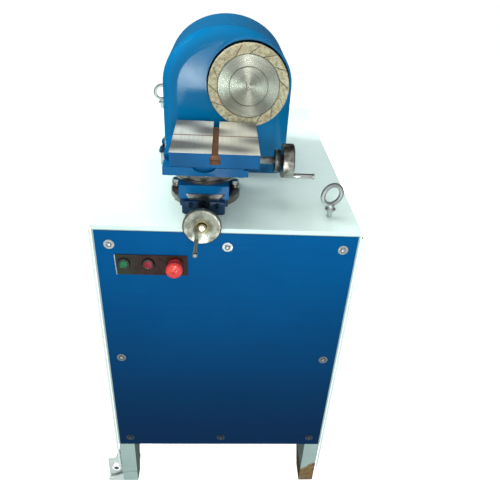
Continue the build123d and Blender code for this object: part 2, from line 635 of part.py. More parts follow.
WHEEL_BACK = -160.0
WHEEL_BOLT_R = 6.0
CORE_FRONT = WHEEL_FRONT + 20.0
SHAFT_NOSE_R = 40.0      # flange that the wheel is bolted to
SHAFT_STEP = 5.0
PULLEY_SEAT_R = SHAFT_R - 2.0
SHAFT_END = BELT_Y + PULLEY_HALF_W + 6.0
spindle_shaft = turned("Y", SPINDLE_AT, 0, [
    (0, WHEEL_BACK), (SHAFT_NOSE_R, WHEEL_BACK), (SHAFT_NOSE_R, WHEEL_BACK + 8.0),
    (SHAFT_R + SHAFT_STEP, WHEEL_BACK + 10.0), (SHAFT_R + SHAFT_STEP, HOUSING_Y[0] - 10.0),
    (SHAFT_R, HOUSING_Y[0] - 10.0), (SHAFT_R, BELT_Y - PULLEY_HALF_W),
    (PULLEY_SEAT_R, BELT_Y - PULLEY_HALF_W), (PULLEY_SEAT_R, SHAFT_END), (0, SHAFT_END)])
save("spindle_shaft", spindle_shaft)
wheel_back = turned("Y", SPINDLE_AT, 0, [
    (WHEEL_BOLT_R, WHEEL_BACK), (WHEEL_R - 4.0, WHEEL_BACK), (WHEEL_R, WHEEL_BACK - 4.0),
    (WHEEL_R, CORE_FRONT), (WHEEL_BOLT_R, CORE_FRONT)])
save("wheel_back", wheel_back)

RIM_INNER = WHEEL_R - RIM_W
GROOVE_R = 48.0
GROOVE_HALF = 0.8
FACE_FRONT = WHEEL_FRONT + 0.8
face_plate = turned("Y", SPINDLE_AT, 0, [
    (WHEEL_BOLT_R, CORE_FRONT), (RIM_INNER - 0.5, CORE_FRONT), (RIM_INNER - 0.5, FACE_FRONT + 1.0),
    (RIM_INNER - 1.8, FACE_FRONT), (GROOVE_R + GROOVE_HALF, FACE_FRONT), (GROOVE_R, FACE_FRONT + 1.2),
    (GROOVE_R - GROOVE_HALF, FACE_FRONT), (WHEEL_BOLT_R, FACE_FRONT)])
save("face_plate", face_plate)


def abrasive_segments():
    """Ring of diamond segments, parted by slots that lean off the radius."""
    ring = tube("Y", SPINDLE_AT, WHEEL_R, RIM_INNER, WHEEL_FRONT, CORE_FRONT)
    leaning = Pos(0, 0, WHEEL_R - RIM_W / 2) * Rot(0, SEGMENT_LEAN, 0) * Box(1.6, 60.0, 44.0)
    for turn in range(SEGMENTS):
        angle = 8.0 + turn * 360.0 / SEGMENTS
        ring -= Pos(SPINDLE_X, WHEEL_FRONT, SPINDLE_Z) * Rot(0, angle, 0) * leaning
    return ring


save("abrasive_segments", *abrasive_segments().solids())
wheel_bolt = rod("Y", SPINDLE_AT, WHEEL_BOLT_R, FACE_FRONT, WHEEL_BACK)
wheel_bolt = chamfer(wheel_bolt.edges().sort_by(Axis.Y)[0], 0.8)
wheel_bolt -= hexagon("Y", SPINDLE_AT, 5.0, FACE_FRONT - 1.0, FACE_FRONT + 5.0)
save("wheel_bolt", wheel_bolt)


# ---------------------------------------------------------------- hood and belt guard
def hood_solid(inset):
    """Hood outline with its strongly rounded front edge; inset gives the inner surface."""
    body = arch(HOOD_X, HOOD_A - inset, HOOD_B - inset, HOOD_SPRING_Z, DECK, HOOD_FRONT + inset,
                HOOD_BACK - HOOD_FRONT - inset)
    front = body.faces().sort_by(Axis.Y)[0]
    rim = [e for e in front.edges() if e.center().Z > DECK + 1]
    return fillet(rim, HOOD_ROUND - inset)


LIP_R = 109.5
hood = hood_solid(0.0)
hood += tube("Y", SPINDLE_AT, LIP_R, MOUTH_R, HOOD_FRONT - 6.0, HOOD_FRONT + 25.0)
hood -= hood_solid(HOOD_WALL) & block((-250, 250), (HOOD_FRONT, HOOD_BACK + 1), (DECK - 1, 1400))
hood -= rod("Y", SPINDLE_AT, MOUTH_R, HOOD_FRONT - 10.0, HOOD_FRONT + 26.0)
lug_places = []
LUG_W, LUG_OUT, LUG_T = 36.0, 28.0, 7.0
GUSSET_OUT, GUSSET_H, GUSSET_T = 20.0, 40.0, 7.0
LUG_BOLT_R = 4.0
for side, ys in ((1, (-132.0, 40.0)), (-1, (-20.0, 50.0))):
    wall = HOOD_X + side * HOOD_A
    root = wall - side * 3.0
    for y in ys:
        x = tuple(sorted((root, wall + side * LUG_OUT)))
        hood += block(x, (y - LUG_W / 2, y + LUG_W / 2), (DECK, DECK + LUG_T))
        plane = Plane(origin=(0, y - LUG_W / 2, 0), x_dir=(1, 0, 0), z_dir=(0, -1, 0))
        gusset = [(root, DECK + LUG_T - 1), (wall + side * GUSSET_OUT, DECK + LUG_T - 1),
                  (root, DECK + GUSSET_H)]
        hood += prism(plane, gusset, -GUSSET_T)
        lug_places.append((wall + side * 15.0, y + 5.0))
for place in lug_places:
    hood -= rod("Z", place, LUG_BOLT_R + HOLE_PLAY, DECK - 1, DECK + LUG_T + 1)
save("hood", hood)
save("hood_bolts", *[hex_bolt(place, DECK + LUG_T, LUG_T - 1, LUG_BOLT_R, 13.0, 6.5) for place in lug_places])

guard = arch(GUARD_X, GUARD_A, GUARD_B, GUARD_SPRING_Z, DECK, HOOD_BACK, GUARD_BACK - HOOD_BACK)
GUARD_ROUND = 14.0
back = guard.faces().sort_by(Axis.Y)[-1]
guard = fillet([e for e in back.edges() if e.center().Z > DECK + 1], GUARD_ROUND)
room = arch(GUARD_X, GUARD_A - GUARD_WALL, GUARD_B - GUARD_WALL, GUARD_SPRING_Z, DECK - 1,
            HOOD_BACK + GUARD_WALL, GUARD_BACK - HOOD_BACK - 2 * GUARD_WALL)
back = room.faces().sort_by(Axis.Y)[-1]
guard -= fillet([e for e in back.edges() if e.center().Z > DECK], GUARD_ROUND - GUARD_WALL)
guard -= rod("Y", SPINDLE_AT, 30.0, HOOD_BACK - 1, HOOD_BACK + GUARD_WALL + 1)
save("belt_guard", guard)

# ---------------------------------------------------------------- slide base
ring_at = (SLIDE_X, RING_Y)
clamp_places = [(SLIDE_X + side * CLAMP_X, RING_Y) for side in (-1, 1)]
CLAMP_TOP = DECK + RING_H + CLAMP_H
base_flange = tube("Z", ring_at, RING_R, RING_BORE, DECK, DECK + RING_H)
rims = base_flange.edges().filter_by(GeomType.CIRCLE).sort_by(SortBy.RADIUS)[-2:]
base_flange = chamfer(rims.sort_by(Axis.Z)[-1:], 4.0)
for place in clamp_places:
    base_flange += rod("Z", place, CLAMP_R, DECK + RING_H - 1, CLAMP_TOP)
    base_flange -= rod("Z", place, BOLT_R + HOLE_PLAY, DECK - 1, CLAMP_TOP + 1)
save("base_flange", base_flange)

WAY_HALF = 42.0          # half width of the lower way's top
NUT_SLOT = 16.0          # half width of the slot for the feed nut
WAY_TOP = BASE_TOP + WAY_H
slide_base = block(BASE_X, BASE_Y, above_deck((RING_H, BASE_TOP)))
slide_base += rod("Z", ring_at, RING_BORE - SLIP, DECK, DECK + RING_H)
slide_base += block((BASE_X[0] + 4, BASE_X[1] - 8), (BASE_Y[0], RING_Y - RING_R - 1.0),
                    above_deck((0, RING_H)))
slide_base += dovetail("Y", SLIDE_X, WAY_HALF, DECK + BASE_TOP, DECK + WAY_TOP, *BASE_Y)
slide_base -= block((SLIDE_X - NUT_SLOT, SLIDE_X + NUT_SLOT), (BASE_Y[0] + 10, BASE_Y[1] - 14),
                    above_deck((RING_H, WAY_TOP + 1)))
low_screw_at = (SLIDE_X, DECK + LOW_SCREW_H)
slide_base -= rod("Y", low_screw_at, LOW_SCREW_R + RUN, BASE_Y[0] - 1, BASE_Y[1] - 6)
save("slide_base", slide_base)

BRACKET_HALF = 49.0      # bearing bracket of the lower screw
BRACKET_H = (3.0, 35.0)
BRACKET_T = 10.0
BRACKET_FACE = BASE_Y[0] - BRACKET_T
BRACKET_SCREW_X, BRACKET_SCREW_H = 30.0, 26.0
front_bracket = block((SLIDE_X - BRACKET_HALF, SLIDE_X + BRACKET_HALF), (BRACKET_FACE, BASE_Y[0]),
                      above_deck(BRACKET_H))
front_bracket = fillet(front_bracket.edges().filter_by(Axis.Y), 6.0)
front_bracket -= rod("Y", low_screw_at, LOW_SCREW_R + RUN, BRACKET_FACE - 1, BASE_Y[0] + 1)
bracket_screws_at = [(SLIDE_X + side * BRACKET_SCREW_X, DECK + BRACKET_SCREW_H) for side in (-1, 1)]
for place in bracket_screws_at:
    front_bracket -= rod("Y", place, SCREW_R + HOLE_PLAY, BRACKET_FACE - 1, BASE_Y[0] + 1)
save("front_bracket", front_bracket)

CAP_HEAD_R, CAP_HEAD_H = 5.0, 6.0
CAP_SOCKET, CAP_SOCKET_DEPTH = 5.0, 3.5


def cap_screw(place, seat):
    """Socket-head screw whose head stands in front of seat, pointing along +Y."""
    screw = rod("Y", place, SCREW_R, seat - 1, seat + BRACKET_T - 0.5)
    screw += rod("Y", place, CAP_HEAD_R, seat - CAP_HEAD_H, seat)
    head = seat - CAP_HEAD_H
    return screw - hexagon("Y", place, CAP_SOCKET, head - 1, head + CAP_SOCKET_DEPTH)


slide_bolts = [hex_bolt(place, CLAMP_TOP, RING_H + CLAMP_H) for place in clamp_places]
slide_bolts += [cap_screw(place, BRACKET_FACE) for place in bracket_screws_at]
save("slide_bolts", *slide_bolts)

# ---------------------------------------------------------------- cross slide and its feed
GIB_T = 5.0
cross = block(CROSS_X, CROSS_Y, above_deck(CROSS_H))
low, high = DECK + BASE_TOP, DECK + WAY_TOP
cross -= dovetail("Y", SLIDE_X + GIB_T / 2, WAY_HALF + GIB_T / 2, low, high, CROSS_Y[0] - 1,
                  CROSS_Y[1] + 1, SLIP)
save("cross_slide", cross)

gib_high = SLIDE_X + WAY_HALF + SLIP
gib_low = gib_high - (WAY_TOP + SLIP - CROSS_H[0]) / (WAY_H + SLIP) * WAY_SLOPE
gib_points = [(gib_low, CROSS_H[0]), (gib_low + GIB_T, CROSS_H[0]), (gib_high + GIB_T, WAY_TOP + SLIP),
              (gib_high, WAY_TOP + SLIP)]
gib_plane = Plane(origin=(0, CROSS_Y[0] + 2, DECK), x_dir=(1, 0, 0), z_dir=(0, -1, 0))
save("cross_gib", prism(gib_plane, gib_points, -(CROSS_Y[1] - CROSS_Y[0] - 4)))

NUT_Y = (SWIVEL_Y - 12, SWIVEL_Y + 28)
cross_nut = block((SLIDE_X - 13, SLIDE_X + 13), NUT_Y, above_deck((20.8, WAY_TOP + SLIP)))
cross_nut -= rod("Y", low_screw_at, LOW_SCREW_R + RUN, NUT_Y[0] - 1, NUT_Y[1] + 1)
save("cross_nut", cross_nut)

PIVOT_R = 25.0
swivel_at = (SLIDE_X, SWIVEL_Y)
save("swivel_ring", tube("Z", swivel_at, SWIVEL_R, PIVOT_R + RUN,
                         *above_deck((CROSS_H[1], SWIVEL_H[0] - SLIP))))

low_screw = rod("Y", low_screw_at, LOW_SCREW_R, FRONT_WHEEL_Y - FRONT_WHEEL_W - 4, BASE_Y[1] - 10)
save("low_lead_screw", low_screw)
COLLAR_R = 14.0
front_collar = turned("Y", low_screw_at, BRACKET_FACE - SLIP, [
    (LOW_SCREW_R, 0), (COLLAR_R, 0), (COLLAR_R, -16.0), (COLLAR_R - 1.5, -18.0), (COLLAR_R - 4.0, -18.0),
    (COLLAR_R - 4.0, -72.0), (LOW_SCREW_R, -72.0)])
save("front_collar", front_collar)


HUB_BACK = 4.0           # how far a handwheel's hub stands out at the back


def handwheel(radius, bore, width):
    """Solid disc handwheel with a slightly dished face and a small hub, both towards local +Z."""
    profile = [(bore, -HUB_BACK), (13.0, -HUB_BACK), (15.0, 0), (radius - 2.0, 0), (radius, 2.0),
               (radius, width - 2.5), (radius - 2.5, width), (15.0, width - 3.0), (11.0, width - 3.0),
               (9.5, width + 3.0), (bore, width + 3.0)]
    return turned("Z", (0, 0), 0, profile)


GRIP_STUD_R = 4.0
GRIP_R = 6.2
front_grip_at = (SLIDE_X - FRONT_GRIP[0], DECK + LOW_SCREW_H - FRONT_GRIP[1])
front_wheel = (Pos(SLIDE_X, FRONT_WHEEL_Y, DECK + LOW_SCREW_H) * Rot(90, 0, 0)
               * handwheel(FRONT_WHEEL_R, LOW_SCREW_R, FRONT_WHEEL_W))
front_wheel -= rod("Y", front_grip_at, GRIP_STUD_R, FRONT_WHEEL_Y - 20, FRONT_WHEEL_Y + 10)
save("front_handwheel", front_wheel)
front_face = FRONT_WHEEL_Y - FRONT_WHEEL_W
front_grip = turned("Y", front_grip_at, front_face, [
    (0, FRONT_WHEEL_W - 1), (GRIP_STUD_R, FRONT_WHEEL_W - 1), (GRIP_STUD_R, 0), (5.5, 0), (5.0, -4.0),
    (3.6, -12.0), (4.2, -30.0), (5.4, -46.0), (6.2, -54.0), (5.0, -60.0), (0, -62.5)])
save("front_grip", front_grip)

# ---------------------------------------------------------------- saddle, swivel and table
swivel_disc = rod("Z", swivel_at, SWIVEL_R, *above_deck(SWIVEL_H))
swivel_disc = chamfer(swivel_disc.edges().filter_by(GeomType.CIRCLE), 1.5)
swivel_disc += rod("Z", swivel_at, PIVOT_R, DECK + CROSS_H[1] + SLIP, DECK + SWIVEL_H[0] + 1)
save("swivel_disc", swivel_disc)

TABLE_WAY_HALF = 62.0
TABLE_WAY_TOP = SADDLE_H[1] + WAY_H
SCREW_SLOT = 12.0        # half width of the slot for the upper screw and its nut
SLOT_FLOOR = 100.4
NECK_R = 62.0            # round neck between the swivel disc and the saddle
LUG_END = (10.0, 18.0)   # stop lug at the saddle's right front corner
high_screw_at = (HIGH_SCREW_Y, DECK + HIGH_SCREW_H)
saddle = block(SADDLE_X, SADDLE_Y, above_deck(SADDLE_H))
saddle += rod("Z", swivel_at, NECK_R, *above_deck((SWIVEL_H[1], SADDLE_H[0])))
saddle += block((SADDLE_X[1], SADDLE_X[1] + LUG_END[0]), (SADDLE_Y[0], SADDLE_Y[0] + LUG_END[1]),
                above_deck((104, 120)))
saddle += dovetail("X", SWIVEL_Y, TABLE_WAY_HALF, DECK + SADDLE_H[1], DECK + TABLE_WAY_TOP, *SADDLE_X)
saddle -= block((SADDLE_X[0] + 8, SADDLE_X[1] - 9), (HIGH_SCREW_Y - SCREW_SLOT, HIGH_SCREW_Y + SCREW_SLOT),
                above_deck((SLOT_FLOOR, TABLE_WAY_TOP + 1)))
saddle -= rod("X", high_screw_at, HIGH_SCREW_R + RUN, SADDLE_X[0] - 1, SADDLE_X[1] + 1)
notch = extrude(Ellipse(25.0, 12.0), 14.0, both=True)
saddle -= Pos(SLIDE_X, SADDLE_Y[0], DECK + SADDLE_H[1]) * Rot(90, 0, 0) * notch
save("saddle", saddle)

CAP_HALF = 15.0
CAP_TOP = 122.5


def end_cap(x, low):
    """Bearing cap of the upper screw, screwed to one end of the saddle."""
    body = block(x, (HIGH_SCREW_Y - CAP_HALF, HIGH_SCREW_Y + CAP_HALF), above_deck((low, CAP_TOP)))
    return fillet(body.edges().filter_by(Axis.X), 4.0)


left_cap = end_cap((SADDLE_X[0] - 12, SADDLE_X[0]), 90.0)
left_cap -= rod("X", high_screw_at, HIGH_SCREW_R + RUN, SADDLE_X[0] - 8, SADDLE_X[0] + 1)
right_cap = end_cap((SADDLE_X[1], SADDLE_X[1] + 9), 95.0)
right_cap += rod("X", high_screw_at, 9.0, SADDLE_X[1] + 8, RIGHT_DIAL_X - 1)
right_cap -= rod("X", high_screw_at, HIGH_SCREW_R + RUN, SADDLE_X[1] - 1, RIGHT_DIAL_X)
save("screw_end_caps", left_cap, right_cap)

table = block(TABLE_X, TABLE_Y, above_deck(TABLE_H))
table -= dovetail("X", SWIVEL_Y, TABLE_WAY_HALF, DECK + SADDLE_H[1], DECK + TABLE_WAY_TOP, TABLE_X[0] - 1,
                  TABLE_X[1] + 1, SLIP)
SLOT_NECK, SLOT_DEPTH, SLOT_WIDE = 8.0, 15.5, 24.0
GROOVE_Y, GROOVE_W, GROOVE_CUT = -318.0, 3.0, 2.0
for half, low, high in ((SLOT_W / 2, TABLE_H[1] - SLOT_DEPTH, TABLE_H[1] + 1),
                        (SLOT_WIDE / 2, TABLE_H[1] - SLOT_DEPTH, TABLE_H[1] - SLOT_NECK)):
    table -= block((SLOT_X - half, SLOT_X + half), (TABLE_Y[0] - 1, TABLE_Y[1] + 1), above_deck((low, high)))
RELIEF_HALF, RELIEF_DEPTH, RELIEF_LENGTH = 13.0, 26.0, 26.0
relief = [(SLOT_X - SLOT_W / 2, DECK + TABLE_H[1] + 1), (SLOT_X + SLOT_W / 2, DECK + TABLE_H[1] + 1),
          (SLOT_X + RELIEF_HALF, DECK + TABLE_H[1] - RELIEF_DEPTH),
          (SLOT_X - RELIEF_HALF, DECK + TABLE_H[1] - RELIEF_DEPTH)]
relief_plane = Plane(origin=(0, TABLE_Y[0] - 1, 0), x_dir=(1, 0, 0), z_dir=(0, -1, 0))
table -= prism(relief_plane, relief, -(RELIEF_LENGTH + 1))
table -= block((TABLE_X[0] - 1, TABLE_X[1] + 1), (GROOVE_Y - GROOVE_W / 2, GROOVE_Y + GROOVE_W / 2),
               above_deck((TABLE_H[1] - GROOVE_CUT, TABLE_H[1] + 1)))
save("table", table)

NUT_HALF = 20.0
table_nut = block((SLIDE_X - NUT_HALF, SLIDE_X + NUT_HALF), (HIGH_SCREW_Y - 10, HIGH_SCREW_Y + 10),
                  above_deck((SLOT_FLOOR + SLIP, TABLE_WAY_TOP + SLIP)))
table_nut -= rod("X", high_screw_at, HIGH_SCREW_R + RUN, SLIDE_X - NUT_HALF - 1, SLIDE_X + NUT_HALF + 1)
save("table_nut", table_nut)

high_screw = rod("X", high_screw_at, HIGH_SCREW_R, SADDLE_X[0] - 7, RIGHT_WHEEL_X + RIGHT_WHEEL_W + 4)
save("high_lead_screw", high_screw)
right_grip_at = (HIGH_SCREW_Y - RIGHT_GRIP[0], DECK + HIGH_SCREW_H - RIGHT_GRIP[1])
right_wheel = (Pos(RIGHT_WHEEL_X, HIGH_SCREW_Y, DECK + HIGH_SCREW_H) * Rot(0, 90, 0)
               * handwheel(RIGHT_WHEEL_R, HIGH_SCREW_R, RIGHT_WHEEL_W))
right_dial = tube("X", high_screw_at, RIGHT_DIAL_R, HIGH_SCREW_R, RIGHT_DIAL_X,
                  RIGHT_WHEEL_X - HUB_BACK - SLIP)
right_dial = chamfer(right_dial.edges().filter_by(GeomType.CIRCLE).sort_by(SortBy.RADIUS)[-2:], 1.0)
grip_start = RIGHT_WHEEL_X + RIGHT_WHEEL_W + 0.4
grip_end = grip_start + RIGHT_GRIP_L
right_wheel += rod("X", right_grip_at, GRIP_STUD_R, RIGHT_WHEEL_X + 2, grip_end + 0.4)
right_wheel += rod("X", right_grip_at, GRIP_R + 0.8, grip_end + 0.4, grip_end + 4.4)
save("right_handwheel", right_wheel, right_dial)
right_grip = turned("X", right_grip_at, grip_start, [
    (GRIP_STUD_R + RUN, 0), (GRIP_R - 0.6, 0), (GRIP_R, 1.0), (GRIP_R, RIGHT_GRIP_L - 1.0),
    (GRIP_R - 0.6, RIGHT_GRIP_L), (GRIP_STUD_R + RUN, RIGHT_GRIP_L)])
save("right_grip", right_grip)
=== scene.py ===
import math
import random

import bmesh
import bpy
from mathutils import Matrix, Vector


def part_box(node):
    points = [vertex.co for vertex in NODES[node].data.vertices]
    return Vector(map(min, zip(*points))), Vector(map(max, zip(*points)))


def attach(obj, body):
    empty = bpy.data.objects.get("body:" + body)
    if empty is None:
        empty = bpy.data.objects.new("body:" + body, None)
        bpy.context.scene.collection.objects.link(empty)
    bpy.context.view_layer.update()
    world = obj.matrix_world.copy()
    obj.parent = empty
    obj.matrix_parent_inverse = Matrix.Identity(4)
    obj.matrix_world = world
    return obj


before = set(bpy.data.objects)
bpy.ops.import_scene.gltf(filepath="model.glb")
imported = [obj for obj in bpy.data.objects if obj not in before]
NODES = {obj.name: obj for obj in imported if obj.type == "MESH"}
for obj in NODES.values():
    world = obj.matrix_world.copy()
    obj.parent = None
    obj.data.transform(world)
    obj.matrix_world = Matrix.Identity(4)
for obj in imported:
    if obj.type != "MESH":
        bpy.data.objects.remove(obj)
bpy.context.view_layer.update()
random.seed(7)

# ---------------------------------------------------------------- places, from the CAD
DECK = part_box("top_plate")[1].z
PANEL_LOW, PANEL_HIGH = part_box("front_panel")
TABLE_LOW, TABLE_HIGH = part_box("table")
WHEEL_LOW, WHEEL_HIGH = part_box("face_plate")
WHEEL_MIDDLE = (WHEEL_LOW + WHEEL_HIGH) / 2
FLANGE_LOW, FLANGE_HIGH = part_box("base_flange")
DISC_LOW, DISC_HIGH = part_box("swivel_disc")
SCREW_LOW, SCREW_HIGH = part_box("high_lead_screw")
HOOD_LOW, HOOD_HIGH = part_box("hood")
POST_LOW, POST_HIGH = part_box("corner_posts")
CONTROL_LOW, CONTROL_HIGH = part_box("control_plate")


# ---------------------------------------------------------------- shader helpers
def rgb(r, g, b):
    """Linear colour of an 8-bit display colour."""
    def linear(v):
        v /= 255
        return v / 12.92 if v <= 0.04045 else ((v + 0.055) / 1.055) ** 2.4
    return (linear(r), linear(g), linear(b), 1.0)


class Look:
    """One node material, built step by step around a Principled shader."""

    def __init__(self, name, **sockets):
        self.material = bpy.data.materials.new(name)
        self.material.use_nodes = True
        self.tree = self.material.node_tree
        self.shader = self.tree.nodes["Principled BSDF"]
        for key, value in sockets.items():
            self.shader.inputs[key.replace("_", " ")].default_value = value
        self.place = self.add("TexCoord").outputs["Object"]
        self.relief = None

    def add(self, kind, inputs=None, **settings):
        node = self.tree.nodes.new("ShaderNode" + kind)
        for key, value in settings.items():
            setattr(node, key, value)
        for key, value in (inputs or {}).items():
            self.put(node.inputs[key], value)
        return node

    def put(self, socket, value):
        if isinstance(value, bpy.types.NodeSocket):
            self.tree.links.new(value, socket)
        else:
            socket.default_value = value

    def set(self, name, value):
        self.put(self.shader.inputs[name], value)
        return self

    def current(self, name):
        """What feeds a socket of the shader now."""
        return self.shader.inputs[name].links[0].from_socket

    def turned(self, axis):
        """Lathe marks round an axis: highlights fan out from the middle."""
        self.shader.inputs["Anisotropic Rotation"].default_value = 0.25
        return self.set("Tangent", self.add("Tangent", direction_type="RADIAL", axis=axis).outputs["Tangent"])

    def mapped(self, scale=(1, 1, 1), location=(0, 0, 0), rotation=(0, 0, 0)):
        node = self.add("Mapping", {"Vector": self.place, "Scale": scale, "Location": location,
                                    "Rotation": rotation})
        return node.outputs["Vector"]

    def radius(self, centre, across):
        """Distance from an axis through centre; across is 1 for the two letters square to it, else 0."""
        away = self.mapped(location=[-c * s for c, s in zip(centre, across)], scale=across)
        return self.add("VectorMath", {0: away}, operation="LENGTH").outputs["Value"]

    def noise(self, scale, detail=3.0, rough=0.55, vector=None):
        node = self.add("TexNoise", {"Vector": vector or self.place, "Scale": scale, "Detail": detail,
                                     "Roughness": rough})
        return node.outputs["Fac"]

    def cells(self, scale):
        return self.add("TexVoronoi", {"Vector": self.place, "Scale": scale}).outputs["Distance"]

    def math(self, operation, a, b):
        return self.add("Math", {0: a, 1: b}, operation=operation).outputs[0]

    def times(self, *factors):
        product = factors[0]
        for factor in factors[1:]:
            product = self.math("MULTIPLY", product, factor)
        return product

    def step(self, value, low, high, out_low=0.0, out_high=1.0):
        """Smooth ramp of value from low to high."""
        node = self.add("MapRange", {"Value": value, "From Min": low, "From Max": high,
                                     "To Min": out_low, "To Max": out_high},
                        interpolation_type="SMOOTHSTEP")
        return node.outputs["Result"]

    def blend(self, factor, a, b):
        node = self.add("Mix", data_type="RGBA")
        self.put(node.inputs["Factor"], factor)
        self.put(node.inputs[6], a)
        self.put(node.inputs[7], b)
        return node.outputs[2]

    def axis(self, letter):
        """One object coordinate, in metres."""
        return self.add("SeparateXYZ", {0: self.place}).outputs[letter]

    def between(self, value, low, high, soft):
        """1 where value lies between low and high."""
        rise = self.step(value, low - soft, low + soft)
        fall = self.step(value, high - soft, high + soft, 1.0, 0.0)
        return self.times(rise, fall)

    def bump(self, height, depth, strength=1.0):
        """Adds relief of that depth in metres to the relief already there."""
        node = self.add("Bump", {"Height": height, "Distance": depth, "Strength": strength})
        if self.relief is not None:
            self.put(node.inputs["Normal"], self.relief)
        self.relief = node.outputs["Normal"]
        self.set("Normal", self.relief)


def enamel(name, colour, shade, rough=(0.2, 0.34), coat=0.5, peel=0.00003, painted_shade=0.0, gloss=0.2):
    """Sprayed enamel: cloudy tint, pale specks, orange peel; painted shade darkens it towards the floor."""
    look = Look(name, Coat_Weight=coat, Coat_Roughness=0.1, Specular_IOR_Level=gloss)
    cloud = look.step(look.noise(4.0, 4.0, 0.6), 0.3, 0.7)
    streak = look.noise(1.0, 5.0, 0.6, vector=look.mapped(scale=(2.0, 2.0, 26.0)))
    tint = look.blend(look.times(cloud, 0.6), colour, shade)
    tint = look.blend(look.step(streak, 0.42, 0.72, 0.0, 0.35), tint, shade)
    specks = look.step(look.cells(260.0), 0.05, 0.11, 0.32, 0.0)
    sparse = look.step(look.noise(22.0, 2.0), 0.6, 0.7)
    tint = look.blend(look.times(specks, sparse), tint, rgb(190, 205, 210))
    # Painted shade: the paint grows darker towards the floor.
    if painted_shade:
        low = look.step(look.axis("Z"), PANEL_LOW.z, PANEL_HIGH.z + 0.2, painted_shade, 0.0)
        tint = look.blend(low, tint, rgb(5, 38, 70))
    look.set("Base Color", tint)
    look.set("Roughness", look.step(look.noise(17.0, 5.0, 0.65), 0.3, 0.75, *rough))
    look.bump(look.noise(330.0, 2.0, 0.5), peel)
    look.bump(look.noise(9.0, 2.0), 0.0004, 0.35)
    return look


def steel(name, colour, dark, rough=(0.2, 0.38), grain=(1.0, 60.0, 60.0), scale=14.0, depth=0.00002):
    """Machined or plated steel with a grain and dull patches."""
    look = Look(name, Metallic=1.0)
    grain_line = look.noise(scale, 6.0, 0.7, vector=look.mapped(scale=grain))
    patch = look.noise(26.0, 4.0, 0.6)
    tint = look.blend(look.step(grain_line, 0.3, 0.75), colour, dark)
    tint = look.blend(look.step(patch, 0.5, 0.8, 0.0, 0.6), tint, dark)
    look.set("Base Color", tint)
    look.set("Roughness", look.step(look.noise(40.0, 4.0, 0.6), 0.3, 0.7, *rough))
    look.bump(grain_line, depth)
    return look


def plastic(name, colour, shade, rough=0.32, **sockets):
    """Moulded plastic with a fine grain and handling marks."""
    look = Look(name, Specular_IOR_Level=0.5, **sockets)
    look.set("Base Color", look.blend(look.step(look.noise(90.0, 4.0), 0.35, 0.7), colour, shade))
    look.set("Roughness", look.step(look.noise(60.0, 4.0), 0.3, 0.7, rough - 0.08, rough + 0.1))
    look.bump(look.noise(2600.0, 2.0), 0.00001)
    return look


# ---------------------------------------------------------------- materials
hood_blue = enamel("hood_blue", rgb(0, 100, 147), rgb(0, 92, 138), rough=(0.17, 0.25), coat=0.12,
                   peel=0.00001)
panel_blue = enamel("panel_blue", rgb(0, 81, 135), rgb(0, 71, 122), rough=(0.36, 0.5), coat=0.0, painted_shade=1.0,
                    gloss=0.04)
casting_blue = enamel("casting_blue", rgb(0, 88, 138), rgb(6, 62, 100), rough=(0.3, 0.46), coat=0.05,
                      peel=0.0001, gloss=0.12)
base_blue = enamel("base_blue", rgb(16, 52, 80), rgb(14, 30, 46), rough=(0.35, 0.5), coat=0.05, peel=0.00015)
deck_white = enamel("deck_white", rgb(200, 220, 214), rgb(184, 204, 198), rough=(0.34, 0.5), coat=0.1)
side_white = enamel("side_white", rgb(206, 218, 215), rgb(188, 202, 198), rough=(0.3, 0.5), coat=0.2)
motor_grey = enamel("motor_grey", rgb(92, 104, 112), rgb(70, 80, 88), rough=(0.35, 0.5), coat=0.1)


def grime_and_shade(look, mask, colour, rough=0.7):
    """Old oil and dust where mask is high; also used for painted shade."""
    look.set("Base Color", look.blend(mask, look.current("Base Color"), colour))
    look.set("Roughness", look.math("MAXIMUM", look.current("Roughness"), look.times(mask, rough)))


def bare_ways(look):
    """The ground faces of the lower way carry no paint."""
    paint_end = DECK + 0.0365
    bare = look.step(look.axis("Z"), paint_end - 0.0003, paint_end + 0.0003)
    scraped = look.blend(look.noise(160.0, 4.0), rgb(176, 178, 176), rgb(118, 120, 120))
    look.set("Base Color", look.blend(bare, look.current("Base Color"), scraped))
    look.set("Metallic", bare)


# Painted shade at the foot of the hood: darker towards the deck, broken into patches.
foot_shade = hood_blue.step(hood_blue.axis("Z"), DECK + 0.004, DECK + 0.055, 0.8, 0.0)
foot_patches = hood_blue.step(hood_blue.noise(38.0, 4.0), 0.3, 0.6, 0.5, 1.0)
grime_and_shade(hood_blue, hood_blue.times(foot_shade, foot_patches), rgb(14, 44, 66))
bare_ways(base_blue)
casting_dirt = casting_blue.step(casting_blue.noise(30.0, 5.0, 0.7), 0.52, 0.74, 0.0, 0.45)
grime_and_shade(casting_blue, casting_dirt, rgb(24, 58, 84), 0.5)

leg_grey = enamel("leg_grey", rgb(150, 172, 166), rgb(132, 154, 148), rough=(0.4, 0.6), coat=0.1, peel=0.0001)
RUST_SLOPE, RUST_RISE, RUST_RAGGED = 0.8, -0.15, 0.05      # the rust's upper edge climbs with x
RUST_EDGE = 0.006


def rusty_feet(look):
    """Bare, rusted metal at the foot of the right-hand legs, with a slanted, ragged edge."""
    z, x = look.axis("Z"), look.axis("X")
    ragged = look.times(look.math("SUBTRACT", look.noise(46.0, 4.0, 0.6), 0.5), RUST_RAGGED)
    line = look.math("ADD", look.times(x, RUST_SLOPE), RUST_RISE)
    above = look.math("SUBTRACT", look.math("ADD", z, ragged), line)
    mask = look.times(look.step(above, -RUST_EDGE, RUST_EDGE, 1.0, 0.0), look.step(x, 0.0, 0.01))
    rust = look.blend(look.step(look.noise(70.0, 5.0, 0.65), 0.35, 0.65), rgb(126, 112, 74), rgb(98, 68, 46))
    scale = look.times(look.step(z, 0.0, 0.035, 1.0, 0.0), look.step(look.noise(50.0, 3.0), 0.45, 0.6))
    rust = look.blend(look.times(scale, 0.7), rust, rgb(104, 88, 88))
    grime_and_shade(look, mask, rust, 0.8)


rusty_feet(leg_grey)

